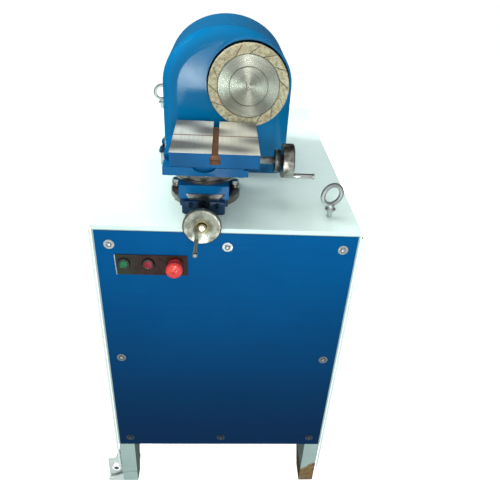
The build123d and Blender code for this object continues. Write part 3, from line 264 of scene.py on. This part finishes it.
bracket_grey = enamel("bracket_grey", rgb(196, 206, 202), rgb(170, 182, 178), rough=(0.4, 0.6), coat=0.1,
                      peel=0.0002)
BOSS_FACE = -0.4609
BOSS_HEX_R, BOSS_BORE_R = 0.0185, 0.0072


def boss_highlight_and_bore_shade(look, centre):
    """Painted highlight on the front face of the hexagon boss, and painted shade in its bore."""
    radius = look.radius(centre, (1, 0, 1))
    front = look.step(look.axis("Y"), BOSS_FACE - 0.0003, BOSS_FACE + 0.0003, 1.0, 0.0)
    face = look.times(front, look.step(radius, BOSS_HEX_R - 0.0005, BOSS_HEX_R + 0.0005, 1.0, 0.0))
    bore = look.step(radius, BOSS_BORE_R - 0.0004, BOSS_BORE_R + 0.0004, 1.0, 0.0)
    # Painted highlight on the face, painted shade in the bore.
    face_highlight = look.blend(face, look.current("Base Color"), rgb(240, 244, 242))
    look.set("Base Color", look.blend(bore, face_highlight, rgb(26, 30, 30)))


boss_highlight_and_bore_shade(bracket_grey, (-0.324, 0.0, 0.056))
rusty_feet(bracket_grey)

ground_steel = steel("ground_steel", rgb(205, 200, 188), rgb(158, 152, 140))
zinc, screw_zinc = (steel(name, rgb(222, 226, 222), rgb(176, 182, 180), rough=(0.34, 0.5), grain=(8, 8, 8),
                          scale=60.0) for name in ("zinc", "panel_screw_zinc"))
bolt_black = steel("bolt_black", rgb(46, 52, 58), rgb(26, 28, 32), rough=(0.3, 0.5), grain=(4, 4, 4))
chrome = steel("chrome", rgb(230, 230, 226), rgb(196, 196, 192), rough=(0.1, 0.22), grain=(3, 3, 3),
               depth=0.000002)
iron = steel("iron", rgb(84, 86, 88), rgb(52, 54, 56), rough=(0.4, 0.6), grain=(1, 1, 1), scale=120.0,
             depth=0.0002)
bronze = steel("bronze", rgb(120, 92, 60), rgb(84, 62, 40), rough=(0.35, 0.5))
# Painted shade: the panel screws darken towards the floor, as the panel does.
grime_and_shade(screw_zinc, screw_zinc.step(screw_zinc.axis("Z"), 0.15, DECK, 0.9, 0.0), rgb(40, 66, 84), 0.5)
# Painted shade: a darker copy of chrome for the button bezels, standing in for the dark surroundings they
# reflect.
bezel_chrome = steel("bezel_chrome", rgb(120, 122, 116), rgb(86, 88, 84), rough=(0.12, 0.2), grain=(3, 3, 3),
                     depth=0.000002)
bolt_mixed = steel("slide_bolt_steel", rgb(208, 212, 208), rgb(150, 156, 154), rough=(0.34, 0.5),
                   grain=(8, 8, 8))
BLACK_SCREWS = -0.407          # the cap screws in front of this are black
blackened = bolt_mixed.step(bolt_mixed.axis("Y"), BLACK_SCREWS - 0.001, BLACK_SCREWS + 0.001, 1.0, 0.0)
bolt_mixed.set("Base Color", bolt_mixed.blend(blackened, bolt_mixed.current("Base Color"), rgb(34, 44, 58)))
cap_steel = steel("cap_steel", rgb(178, 180, 176), rgb(120, 122, 120), rough=(0.3, 0.45), grain=(3, 3, 3),
                  scale=30.0)


def dark_turned(name, ring_low, ring_high, polished_from, polished_radius):
    """Oiled dark steel, turned about the vertical, with the top edge rubbed bright."""
    look = Look(name, Metallic=1.0, Anisotropic=0.6).turned("Z")
    radius = look.radius((ring_low + ring_high) / 2, (1, 1, 0))
    patch = look.noise(30.0, 5.0, 0.65)
    tint = look.blend(look.step(patch, 0.35, 0.7), rgb(150, 144, 138), rgb(126, 119, 115))
    edge = look.times(look.step(look.axis("Z"), polished_from - 0.0004, polished_from + 0.0004),
                      look.step(radius, polished_radius - 0.0006, polished_radius + 0.0006))
    look.set("Base Color", look.blend(edge, tint, rgb(214, 216, 212)))
    look.set("Roughness", look.step(patch, 0.3, 0.75, 0.27, 0.33))
    look.bump(look.noise(420.0, 3.0), 0.00001)
    return look


ring_steel = dark_turned("base_ring_steel", FLANGE_LOW, FLANGE_HIGH, DECK + 0.0162, 0.0822)
disc_steel = dark_turned("swivel_steel", DISC_LOW, DISC_HIGH, DISC_HIGH.z - 0.0014, 0.0738)

green = plastic("green_plastic", rgb(12, 104, 62), rgb(6, 74, 44), 0.3)
dark_red = plastic("dark_red_plastic", rgb(140, 20, 44), rgb(104, 10, 30), 0.3)
red = plastic("red_plastic", rgb(208, 60, 48), rgb(186, 32, 34), 0.3, Coat_Weight=1.0, Coat_Roughness=0.16)
collar_red = plastic("collar_red", rgb(176, 28, 40), rgb(140, 16, 30), 0.35)
black = plastic("black_plastic", rgb(34, 34, 36), rgb(20, 20, 22), 0.45)
rubber = plastic("rubber", rgb(30, 30, 31), rgb(17, 17, 18), 0.7)
nameplate = plastic("nameplate", rgb(50, 30, 25), rgb(32, 18, 16), 0.34)
nameplate.shader.inputs["Specular IOR Level"].default_value = 0.25
oil_film = nameplate.step(nameplate.axis("X"), CONTROL_LOW.x + 0.01, CONTROL_LOW.x + 0.07, 0.75, 0.0)
grime_and_shade(nameplate, nameplate.times(oil_film, nameplate.noise(24.0, 3.0)), rgb(34, 66, 50), 0.4)


def handwheel_steel(name, centre, across, hub, bright, dull, hub_tint):
    """Turned steel that grows browner towards the hub; across is 1 for the two axes in the wheel's plane."""
    look = Look(name, Metallic=1.0, Anisotropic=0.45).turned("XYZ"[across.index(0)])
    radius = look.radius(centre, across)
    cloud = look.noise(48.0, 5.0, 0.65)
    base = look.blend(look.step(cloud, 0.38, 0.68), bright, dull)
    stain = look.step(look.noise(20.0, 4.0), 0.52, 0.7, 0.0, 0.45)
    base = look.blend(stain, base, rgb(112, 98, 72))
    brass = look.step(radius, hub * 0.75, hub * 1.6, 1.0, 0.0)
    look.set("Base Color", look.blend(brass, base, hub_tint))
    look.set("Roughness", look.step(cloud, 0.3, 0.7, 0.26, 0.42))
    look.bump(look.noise(300.0, 3.0), 0.00001)
    return look


front_low, front_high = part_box("front_handwheel")
right_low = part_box("right_handwheel")[0]
front_middle = (front_low + front_high) / 2
right_middle = (SCREW_LOW + SCREW_HIGH) / 2
front_wheel = handwheel_steel("front_wheel_steel", front_middle, (1, 0, 1), 0.015, rgb(164, 168, 154),
                              rgb(104, 108, 98), rgb(112, 106, 76))
right_wheel = handwheel_steel("right_wheel_steel", right_middle, (0, 1, 1), 0.012, rgb(196, 194, 184),
                              rgb(100, 94, 86), rgb(140, 134, 120))
# Painted shade on the wheel's inner end, the dial side that faces the table.
dial_shade = right_wheel.step(right_wheel.axis("X"), right_low.x + 0.012, right_low.x + 0.016, 0.85, 0.0)
grime_and_shade(right_wheel, dial_shade, rgb(34, 40, 46), 0.3)


SLOT_X, SLOT_HALF, NECK_HALF = -0.0335, 0.0141, 0.0073
SLOT_MOUTH = -0.404            # the slot's head space is greasy in front of this
NECK_FLOOR = TABLE_LOW.z + 0.0171
GROOVE_Y, GROOVE_HALF, GROOVE_RIM = -0.318, 0.002, 0.0032
GROOVE_FLOOR = TABLE_HIGH.z - 0.003


def table_look():
    """Ground top with painted reflections in broad patches, blue-painted sides, and brown grease in the slot
    and the cross groove.
    """
    look = Look("table_steel", Anisotropic=0.4, Specular_IOR_Level=0.15)
    # Painted reflection: broad bright and dark patches across the ground top; roughness follows them.
    slanted = look.mapped(scale=(9.0, 15.0, 1.0), rotation=(0, 0, 0.5))
    painted_reflection = look.step(look.noise(1.0, 0.0, 0.4, slanted), 0.3, 0.68)
    lines = look.noise(1.0, 4.0, 0.6, vector=look.mapped(scale=(260.0, 6.0, 6.0)))
    steel_tint = look.blend(painted_reflection, rgb(224, 224, 208), rgb(104, 106, 102))
    steel_tint = look.blend(look.step(lines, 0.35, 0.7, 0.0, 0.25), steel_tint, rgb(150, 150, 140))
    steel_rough = look.step(painted_reflection, 0.0, 1.0, 0.36, 0.5)
    x, y, z = look.axis("X"), look.axis("Y"), look.axis("Z")
    below = look.step(z, TABLE_HIGH.z - 0.0009, TABLE_HIGH.z - 0.0003, 1.0, 0.0)
    slot = look.between(x, SLOT_X - SLOT_HALF, SLOT_X + SLOT_HALF, 0.0004)
    mouth = look.between(x, SLOT_X - SLOT_HALF, SLOT_X + SLOT_HALF, 0.003)
    neck = look.between(x, SLOT_X - NECK_HALF, SLOT_X + NECK_HALF, 0.0004)
    groove = look.between(y, GROOVE_Y - GROOVE_HALF, GROOVE_Y + GROOVE_HALF, 0.0003)
    rim = look.between(y, GROOVE_Y - GROOVE_RIM, GROOVE_Y + GROOVE_RIM, 0.0012)
    inside = look.between(y, TABLE_LOW.y + 0.0006, TABLE_HIGH.y - 0.0006, 0.0003)
    at_mouth = look.step(y, SLOT_MOUTH - 0.002, SLOT_MOUTH + 0.002, 1.0, 0.0)
    above_neck = look.step(z, NECK_FLOOR - 0.0001, NECK_FLOOR + 0.0001)
    in_groove = look.step(z, GROOVE_FLOOR - 0.0001, GROOVE_FLOOR + 0.0001)
    dirt = look.times(look.math("MAXIMUM", slot, look.times(groove, in_groove)), inside)
    dirt = look.math("MAXIMUM", dirt, look.times(neck, above_neck))
    dirt = look.times(look.math("MAXIMUM", dirt, look.times(mouth, at_mouth, inside)), below)
    dirt = look.math("MAXIMUM", dirt, look.times(rim, 0.7, in_groove))
    brown = look.blend(look.noise(60.0, 4.0), rgb(150, 112, 84), rgb(96, 68, 50))
    paint = look.blend(look.step(look.noise(7.0, 4.0), 0.3, 0.7), rgb(0, 82, 132), rgb(2, 66, 108))
    tint = look.blend(below, steel_tint, paint)
    look.set("Base Color", look.blend(dirt, tint, brown))
    look.set("Metallic", look.times(look.math("SUBTRACT", 1.0, below), 0.55))
    look.set("Roughness", look.math("MAXIMUM", steel_rough, look.times(dirt, 0.6)))
    return look


table_mixed = table_look()


def wheel_looks():
    """Turned aluminium face and the tan diamond bond round it."""
    face = Look("turned_aluminium", Metallic=1.0, Anisotropic=0.85).turned("Y")
    radius = face.radius(WHEEL_MIDDLE, (1, 0, 1))
    across_rings = face.add("CombineXYZ", {0: face.times(radius, 900.0)}).outputs["Vector"]
    rings = face.noise(1.0, 3.0, 0.6, across_rings)
    cloud = face.noise(34.0, 5.0, 0.6)
    tint = face.blend(face.step(rings, 0.3, 0.7, 0.0, 0.5), rgb(156, 158, 145), rgb(130, 132, 120))
    tint = face.blend(face.step(cloud, 0.5, 0.8, 0.0, 0.5), tint, rgb(134, 134, 114))
    # Painted shade in the groove ring: it is coloured darker than the face.
    groove = face.between(radius, 0.0472, 0.0488, 0.0003)
    face.set("Base Color", face.blend(groove, tint, rgb(96, 92, 82)))
    face.set("Roughness", face.step(rings, 0.25, 0.75, 0.24, 0.34))

    bond = Look("diamond_bond", Specular_IOR_Level=0.3)
    coarse = bond.noise(140.0, 6.0, 0.7)
    grit = bond.cells(900.0)
    tint = bond.blend(bond.step(coarse, 0.35, 0.68), rgb(186, 184, 154), rgb(128, 120, 90))
    tint = bond.blend(bond.step(grit, 0.12, 0.42, 0.55, 0.0), tint, rgb(84, 72, 52))
    warm = bond.step(bond.noise(22.0, 3.0), 0.54, 0.7, 0.0, 0.4)
    bond.set("Base Color", bond.blend(warm, tint, rgb(170, 142, 116)))
    bond.set("Roughness", bond.step(grit, 0.1, 0.5, 0.55, 0.85))
    bond.bump(coarse, 0.0005)
    bond.bump(grit, 0.0004)
    return face, bond


face_alloy, bond_tan = wheel_looks()

LOOKS = {
    "corner_posts": leg_grey, "frame_rails": leg_grey, "foot_pads": leg_grey,
    "foot_brackets": bracket_grey, "front_panel": panel_blue, "rear_panel": side_white,
    "side_panels": side_white, "top_plate": deck_white, "panel_screws": screw_zinc, "eye_bolts": zinc,
    "control_plate": nameplate, "button_bezels": bezel_chrome, "estop_collar": collar_red,
    "contact_blocks": black, "switch_box": black, "cable_gland": black, "motor_body": motor_grey,
    "motor_covers": motor_grey, "motor_plate": leg_grey, "machine_bolts": zinc, "v_belt": rubber,
    "spindle_pedestal": iron, "spindle_bearings": ground_steel, "bearing_caps": iron, "hood": hood_blue,
    "hood_bolts": bolt_black, "belt_guard": side_white, "base_flange": ring_steel,
    "slide_bolts": bolt_mixed, "slide_base": base_blue, "front_bracket": base_blue,
    "cross_slide": casting_blue, "cross_gib": bronze, "cross_nut": bronze, "swivel_ring": disc_steel,
    "swivel_disc": disc_steel, "saddle": casting_blue, "screw_end_caps": cap_steel, "table": table_mixed,
    "table_nut": bronze, "low_lead_screw": ground_steel, "front_collar": bolt_black,
    "front_handwheel": front_wheel, "front_grip": chrome, "high_lead_screw": ground_steel,
    "right_handwheel": right_wheel, "right_grip": chrome, "spindle_shaft": ground_steel,
    "spindle_pulley": iron, "wheel_back": ground_steel, "face_plate": face_alloy,
    "abrasive_segments": bond_tan, "wheel_bolt": ground_steel, "motor_rotor": ground_steel,
    "motor_pulley": iron, "start_cap": green, "stop_cap": dark_red, "estop_stem": collar_red,
    "estop_head": red,
}
BEVELS = {
    0.0012: ("corner_posts", "frame_rails", "top_plate", "slide_base", "cross_slide", "saddle", "base_flange",
             "foot_brackets", "front_bracket", "spindle_pedestal", "screw_end_caps"),
    0.0004: ("table", "swivel_disc", "front_handwheel", "right_handwheel", "front_collar", "hood_bolts",
             "slide_bolts", "panel_screws", "control_plate", "estop_head", "estop_collar", "button_bezels",
             "start_cap", "stop_cap", "right_grip", "machine_bolts", "motor_plate", "face_plate"),
}


def soften(piece, width):
    """Small rounded edges."""
    bevel = piece.modifiers.new("edges", "BEVEL")
    bevel.width = width
    bevel.segments = 2
    bevel.limit_method = "ANGLE"
    return bevel


def dress(name, look):
    """Gives a CAD node its material, welded corners and small rounded edges."""
    node = NODES[name]
    node.data.materials.clear()
    node.data.materials.append(look.material)
    weld = node.modifiers.new("weld", "WELD")
    weld.merge_threshold = 0.000002
    width = next((w for w, names in BEVELS.items() if name in names), None)
    if width:
        bevel = soften(node, width)
        bevel.angle_limit = math.radians(38)
        bevel.use_clamp_overlap = True
        bevel.harden_normals = True


for node_name, look in LOOKS.items():
    dress(node_name, look)


# ---------------------------------------------------------------- small pieces the solids leave out
def skin(shell, rings):
    """Faces between closed rings of the same number of points."""
    for near, far in zip(rings, rings[1:]):
        for n in range(len(near)):
            m = (n + 1) % len(near)
            shell.faces.new((near[n], near[m], far[m], far[n]))


def cap(shell, rings):
    shell.faces.new(rings[0][::-1])
    shell.faces.new(rings[-1])


def finish_piece(name, shell, body, look, smooth=False):
    """Turns mesh code into an object that rides on a body."""
    bmesh.ops.recalc_face_normals(shell, faces=shell.faces)
    mesh = bpy.data.meshes.new(name)
    shell.to_mesh(mesh)
    shell.free()
    mesh.polygons.foreach_set("use_smooth", [smooth] * len(mesh.polygons))
    mesh.materials.append(look.material)
    piece = bpy.data.objects.new(name, mesh)
    bpy.context.scene.collection.objects.link(piece)
    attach(piece, body)
    return piece


def bead(name, points, radius, body, look):
    """Weld bead: a lumpy, rippled tube along a line of points."""
    shell = bmesh.new()
    rings = []
    sides, steps = 10, 14
    for start, end in zip(points, points[1:]):
        for k in range(steps + (end is points[-1])):
            middle = Vector(start).lerp(Vector(end), k / steps)
            swell = radius * (1.0 + 0.18 * math.sin(k * 2.4) + random.uniform(-0.1, 0.1))
            along = (Vector(end) - Vector(start)).normalized()
            side = along.orthogonal().normalized()
            other = along.cross(side)
            rings.append([shell.verts.new(middle + swell * (math.cos(t) * side + math.sin(t) * other))
                          for t in (2 * math.pi * n / sides for n in range(sides))])
    skin(shell, rings)
    cap(shell, rings)
    finish_piece(name, shell, body, look, smooth=True)


def folded_strip(name, outline, low, high, body, look, lean=0.0):
    """Sheet-metal strip: an outline in x and y run up from low to high, with softened edges."""
    shell = bmesh.new()
    rows = 9
    rings = []
    for k in range(rows):
        part = k / (rows - 1)
        rings.append([shell.verts.new((x + lean * part, y, low + (high - low) * part)) for x, y in outline])
    skin(shell, rings)
    cap(shell, rings)
    soften(finish_piece(name, shell, body, look), 0.0003)


def graduations(name, centre, axis, radius, along, count, body, look):
    """Raised scale marks round a dial, every tenth one longer; axis is 0 for x or 1 for y."""
    shell = bmesh.new()
    half_width, height = 0.00028, 0.0003
    flat_corners = ((-1, 0), (1, 0), (1, 1), (-1, 1))
    for k in range(count):
        turn = 2 * math.pi * k / count
        length = 0.005 if k % 10 else 0.0085
        corners = []
        for lift, (sideways, reach) in ((lift, corner) for lift in (0, 1) for corner in flat_corners):
            angle = turn + sideways * half_width / radius
            r = radius + (lift - 0.5) * height
            place = [0.0, 0.0, 0.0]
            place[axis] = along + reach * length
            place[1 - axis] = centre[0] + r * math.cos(angle)
            place[2] = centre[1] + r * math.sin(angle)
            corners.append(shell.verts.new(place))
        for face in ((0, 1, 2, 3), (4, 5, 6, 7), (0, 1, 5, 4), (1, 2, 6, 5), (2, 3, 7, 6), (3, 0, 4, 7)):
            shell.faces.new([corners[n] for n in face])
    finish_piece(name, shell, body, look)


BAFFLE_HALF, BAFFLE_RISE = 0.1625, 0.1405        # half width, and height of the round top
BAFFLE_SPRING, BAFFLE_FOOT = 1.1655, DECK + 0.0005
BAFFLE_Y = HOOD_HIGH.y - 0.0024
COLLAR_R, COLLAR_DEPTH = 0.031, 0.0036


def hood_baffle():
    """Sheet across the back of the hood: folded edge, and a collared hole for the spindle."""
    middle = (HOOD_LOW.x + HOOD_HIGH.x) / 2
    hub = Vector((WHEEL_MIDDLE.x, 0, WHEEL_MIDDLE.z))
    turns = (math.pi * k / 60 for k in range(61))
    arc = [(middle + BAFFLE_HALF * math.cos(t), BAFFLE_SPRING + BAFFLE_RISE * math.sin(t)) for t in turns]
    left = [(middle - BAFFLE_HALF, BAFFLE_FOOT + (BAFFLE_SPRING - BAFFLE_FOOT) * (1 - k / 8))
            for k in range(1, 9)]
    base = [(middle - BAFFLE_HALF + 2 * BAFFLE_HALF * k / 10, BAFFLE_FOOT) for k in range(1, 10)]
    outline = arc + left + base + [(2 * middle - x, z) for x, z in reversed(left)]
    shell = bmesh.new()
    rings = []
    for scale, y in ((1.0, BAFFLE_Y - 0.0096), (1.0, BAFFLE_Y - 0.001), (0.99, BAFFLE_Y), (0.6, BAFFLE_Y)):
        rings.append([shell.verts.new((hub.x + (x - hub.x) * scale, y, hub.z + (z - hub.z) * scale))
                      for x, z in outline])
    for y in (BAFFLE_Y, BAFFLE_Y - COLLAR_DEPTH):
        ring = []
        for x, z in outline:
            away = Vector((x - hub.x, 0, z - hub.z)).normalized() * COLLAR_R
            ring.append(shell.verts.new((hub.x + away.x, y, hub.z + away.z)))
        rings.append(ring)
    skin(shell, rings)
    piece = finish_piece("hood_baffle", shell, "root", casting_blue)
    sheet = piece.modifiers.new("sheet", "SOLIDIFY")
    sheet.thickness = 0.0012
    sheet.offset = 0.0


hood_baffle()
FRONT_FACE = POST_LOW.y
WELD_LOW, WELD_HIGH = 0.012, 0.13
bead("weld_left_foot_front", [(POST_LOW.x - 0.004, FRONT_FACE - 0.0012, 0.036),
                              (POST_LOW.x + 0.016, FRONT_FACE - 0.0012, 0.045),
                              (POST_LOW.x + 0.044, FRONT_FACE - 0.0012, 0.046)],
     0.0026, "root", leg_grey)
for weld_name, weld_x, weld_y in (("weld_left_foot_side", POST_LOW.x - 0.0012, FRONT_FACE + 0.006),
                                  ("weld_right_foot_side", POST_HIGH.x + 0.0012, POST_HIGH.y - 0.006)):
    bead(weld_name, [(weld_x, weld_y, WELD_LOW), (weld_x, weld_y, WELD_HIGH)], 0.0028, "root", leg_grey)
side_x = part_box("side_panels")[1].x
FOLD = ((0.0002, -0.003), (0.0062, -0.003), (0.0062, 0.012), (0.005, 0.012), (0.005, -0.0018),
        (0.0002, -0.0018))
for hand, label in ((1, "right"), (-1, "left")):
    fold = [(hand * (side_x + out), FRONT_FACE + back) for out, back in FOLD]
    folded_strip("side_cover_fold_" + label, fold, 0.075, DECK - 0.016, "root", side_white)
trim_edge = [(CONTROL_LOW.x + x, CONTROL_LOW.y + y)
             for x, y in ((-0.0026, -0.0006), (-0.0002, -0.0006), (-0.0002, 0.0018), (-0.0026, 0.0018))]
folded_strip("control_plate_trim", trim_edge, CONTROL_LOW.z, CONTROL_HIGH.z, "root", zinc,
             lean=-0.002)
DIAL_R = 0.02705
graduations("right_dial_marks", right_middle[1:], 0, DIAL_R, right_low.x + 0.0004, 60, "right_crank", zinc)


# ---------------------------------------------------------------- floor, light and camera
def plane(name, size, height, material):
    mesh = bpy.data.meshes.new(name)
    half = size / 2
    corners = [(-half, -half, height), (half, -half, height), (half, half, height), (-half, half, height)]
    mesh.from_pydata(corners, [], [(0, 1, 2, 3)])
    return place_stage(name, mesh, material, ("visible_glossy", "visible_diffuse"))


def dome(name, radius, material):
    """Even backdrop that closes the floor all round, seen by the camera only."""
    shell = bmesh.new()
    bmesh.ops.create_uvsphere(shell, u_segments=64, v_segments=32, radius=radius)
    mesh = bpy.data.meshes.new(name)
    shell.to_mesh(mesh)
    shell.free()
    return place_stage(name, mesh, material, ("visible_diffuse", "visible_glossy", "visible_shadow",
                                              "visible_transmission"))


def place_stage(name, mesh, material, unseen_by):
    thing = bpy.data.objects.new(name, mesh)
    bpy.context.scene.collection.objects.link(thing)
    mesh.materials.append(material)
    for ray in unseen_by:
        setattr(thing, ray, False)
    return thing


WHITE = (1, 1, 1, 1)
floor_look = Look("floor", Roughness=0.9, Specular_IOR_Level=0.0, Emission_Strength=0.8, Emission_Color=WHITE)
floor_tint = floor_look.blend(floor_look.noise(3.0, 3.0), (0.8, 0.8, 0.8, 1), (0.84, 0.84, 0.84, 1))
floor_look.set("Base Color", floor_tint)
floor = plane("floor", 90.0, -0.0005, floor_look.material)
backdrop_look = Look("backdrop", Roughness=1.0, Specular_IOR_Level=0.0, Emission_Strength=1.0,
                     Emission_Color=WHITE)
backdrop_tint = backdrop_look.blend(backdrop_look.noise(0.05), (0, 0, 0, 1), (0.01, 0.01, 0.01, 1))
backdrop_look.set("Base Color", backdrop_tint)
dome("backdrop", 40.0, backdrop_look.material)


def area_light(name, place, target, size, power, colour=(1, 1, 1), glossy=True):
    data = bpy.data.lights.new(name, "AREA")
    data.shape = "RECTANGLE"
    data.size, data.size_y = size
    data.energy = power
    data.color = colour
    lamp = bpy.data.objects.new(name, data)
    lamp.location = place
    lamp.rotation_mode = "QUATERNION"
    lamp.rotation_quaternion = (Vector(target) - Vector(place)).to_track_quat("-Z", "Y")
    lamp.visible_glossy = glossy
    bpy.context.scene.collection.objects.link(lamp)


def studio_world():
    """Soft surroundings: bright in front, dim behind, a little brighter above than below."""
    world = bpy.data.worlds.new("studio")
    world.use_nodes = True
    tree = world.node_tree
    back = tree.nodes["Background"]
    back.inputs["Color"].default_value = (0.93, 0.97, 1.0, 1.0)
    split = tree.nodes.new("ShaderNodeSeparateXYZ")
    tree.links.new(tree.nodes.new("ShaderNodeTexCoord").outputs["Generated"], split.inputs[0])
    strength = None
    for letter, span, low, high in (("Z", (-0.5, 0.7), 0.58, 0.7), ("Y", (-0.6, 0.3), 0.9, 0.08)):
        ramp = tree.nodes.new("ShaderNodeMapRange")
        ramp.interpolation_type = "SMOOTHSTEP"
        ramp.inputs["From Min"].default_value, ramp.inputs["From Max"].default_value = span
        ramp.inputs["To Min"].default_value, ramp.inputs["To Max"].default_value = low, high
        tree.links.new(split.outputs[letter], ramp.inputs["Value"])
        if strength is None:
            strength = ramp.outputs["Result"]
        else:
            product = tree.nodes.new("ShaderNodeMath")
            product.operation = "MULTIPLY"
            tree.links.new(strength, product.inputs[0])
            tree.links.new(ramp.outputs["Result"], product.inputs[1])
            strength = product.outputs[0]
    tree.links.new(strength, back.inputs["Strength"])
    bpy.context.scene.world = world


studio_world()
area_light("key", (-1.3, 0.3, 2.25), (0.0, 0.0, 0.95), (0.7, 0.7), 50.0, glossy=False)
area_light("fill", (2.4, 0.2, 1.5), (0.3, 0.0, 0.6), (1.2, 1.2), 34.0, glossy=False)
area_light("front", (0.0, -2.9, 1.8), (0.0, -0.3, 1.1), (1.4, 0.9), 56.0, glossy=False)
area_light("back", (0.6, 3.4, 2.2), (0.0, 0.4, 0.7), (1.8, 1.2), 60.0, glossy=False)
area_light("top", (0.0, 0.5, 3.4), (0.0, 0.0, 1.2), (1.6, 1.6), 32.0, glossy=False)
area_light("window", (-0.24, -2.6, 0.61), (-0.1, -0.163, 1.19), (0.24, 0.15), 4.5, (0.88, 1.0, 1.0))
area_light("strip", (0.1, -2.6, 1.22), (0.04, -0.2, 1.18), (0.1, 0.3), 5.0)
area_light("kicker", (-0.04, -2.2, 0.15), (-0.04, -0.4, 1.0), (0.14, 0.3), 3.5)

CAMERA_AT = (-0.01986, -1.45696, 1.50287)
CAMERA_TURNS = (4.194, 32.223, 3.701)            # to the right, down, and tilted, in degrees
view = bpy.data.cameras.new("camera")
view.lens = 36.162
view.sensor_width = 36.0
camera = bpy.data.objects.new("camera", view)
yaw, pitch, roll = (math.radians(a) for a in CAMERA_TURNS)
ahead = Vector((math.sin(yaw), math.cos(yaw), 0))
right = Vector((math.cos(yaw), -math.sin(yaw), 0))
up = Vector((0, 0, 1))
look_at = ahead * math.cos(pitch) - up * math.sin(pitch)
tilted = ahead * math.sin(pitch) + up * math.cos(pitch)
side_on = right * math.cos(roll) + tilted * math.sin(roll)
top_on = tilted * math.cos(roll) - right * math.sin(roll)
turn = Matrix((side_on, top_on, -look_at)).transposed()
camera.matrix_world = Matrix.Translation(CAMERA_AT) @ turn.to_4x4()
bpy.context.scene.collection.objects.link(camera)
bpy.context.scene.camera = camera
bpy.context.scene.view_settings.view_transform = "Standard"
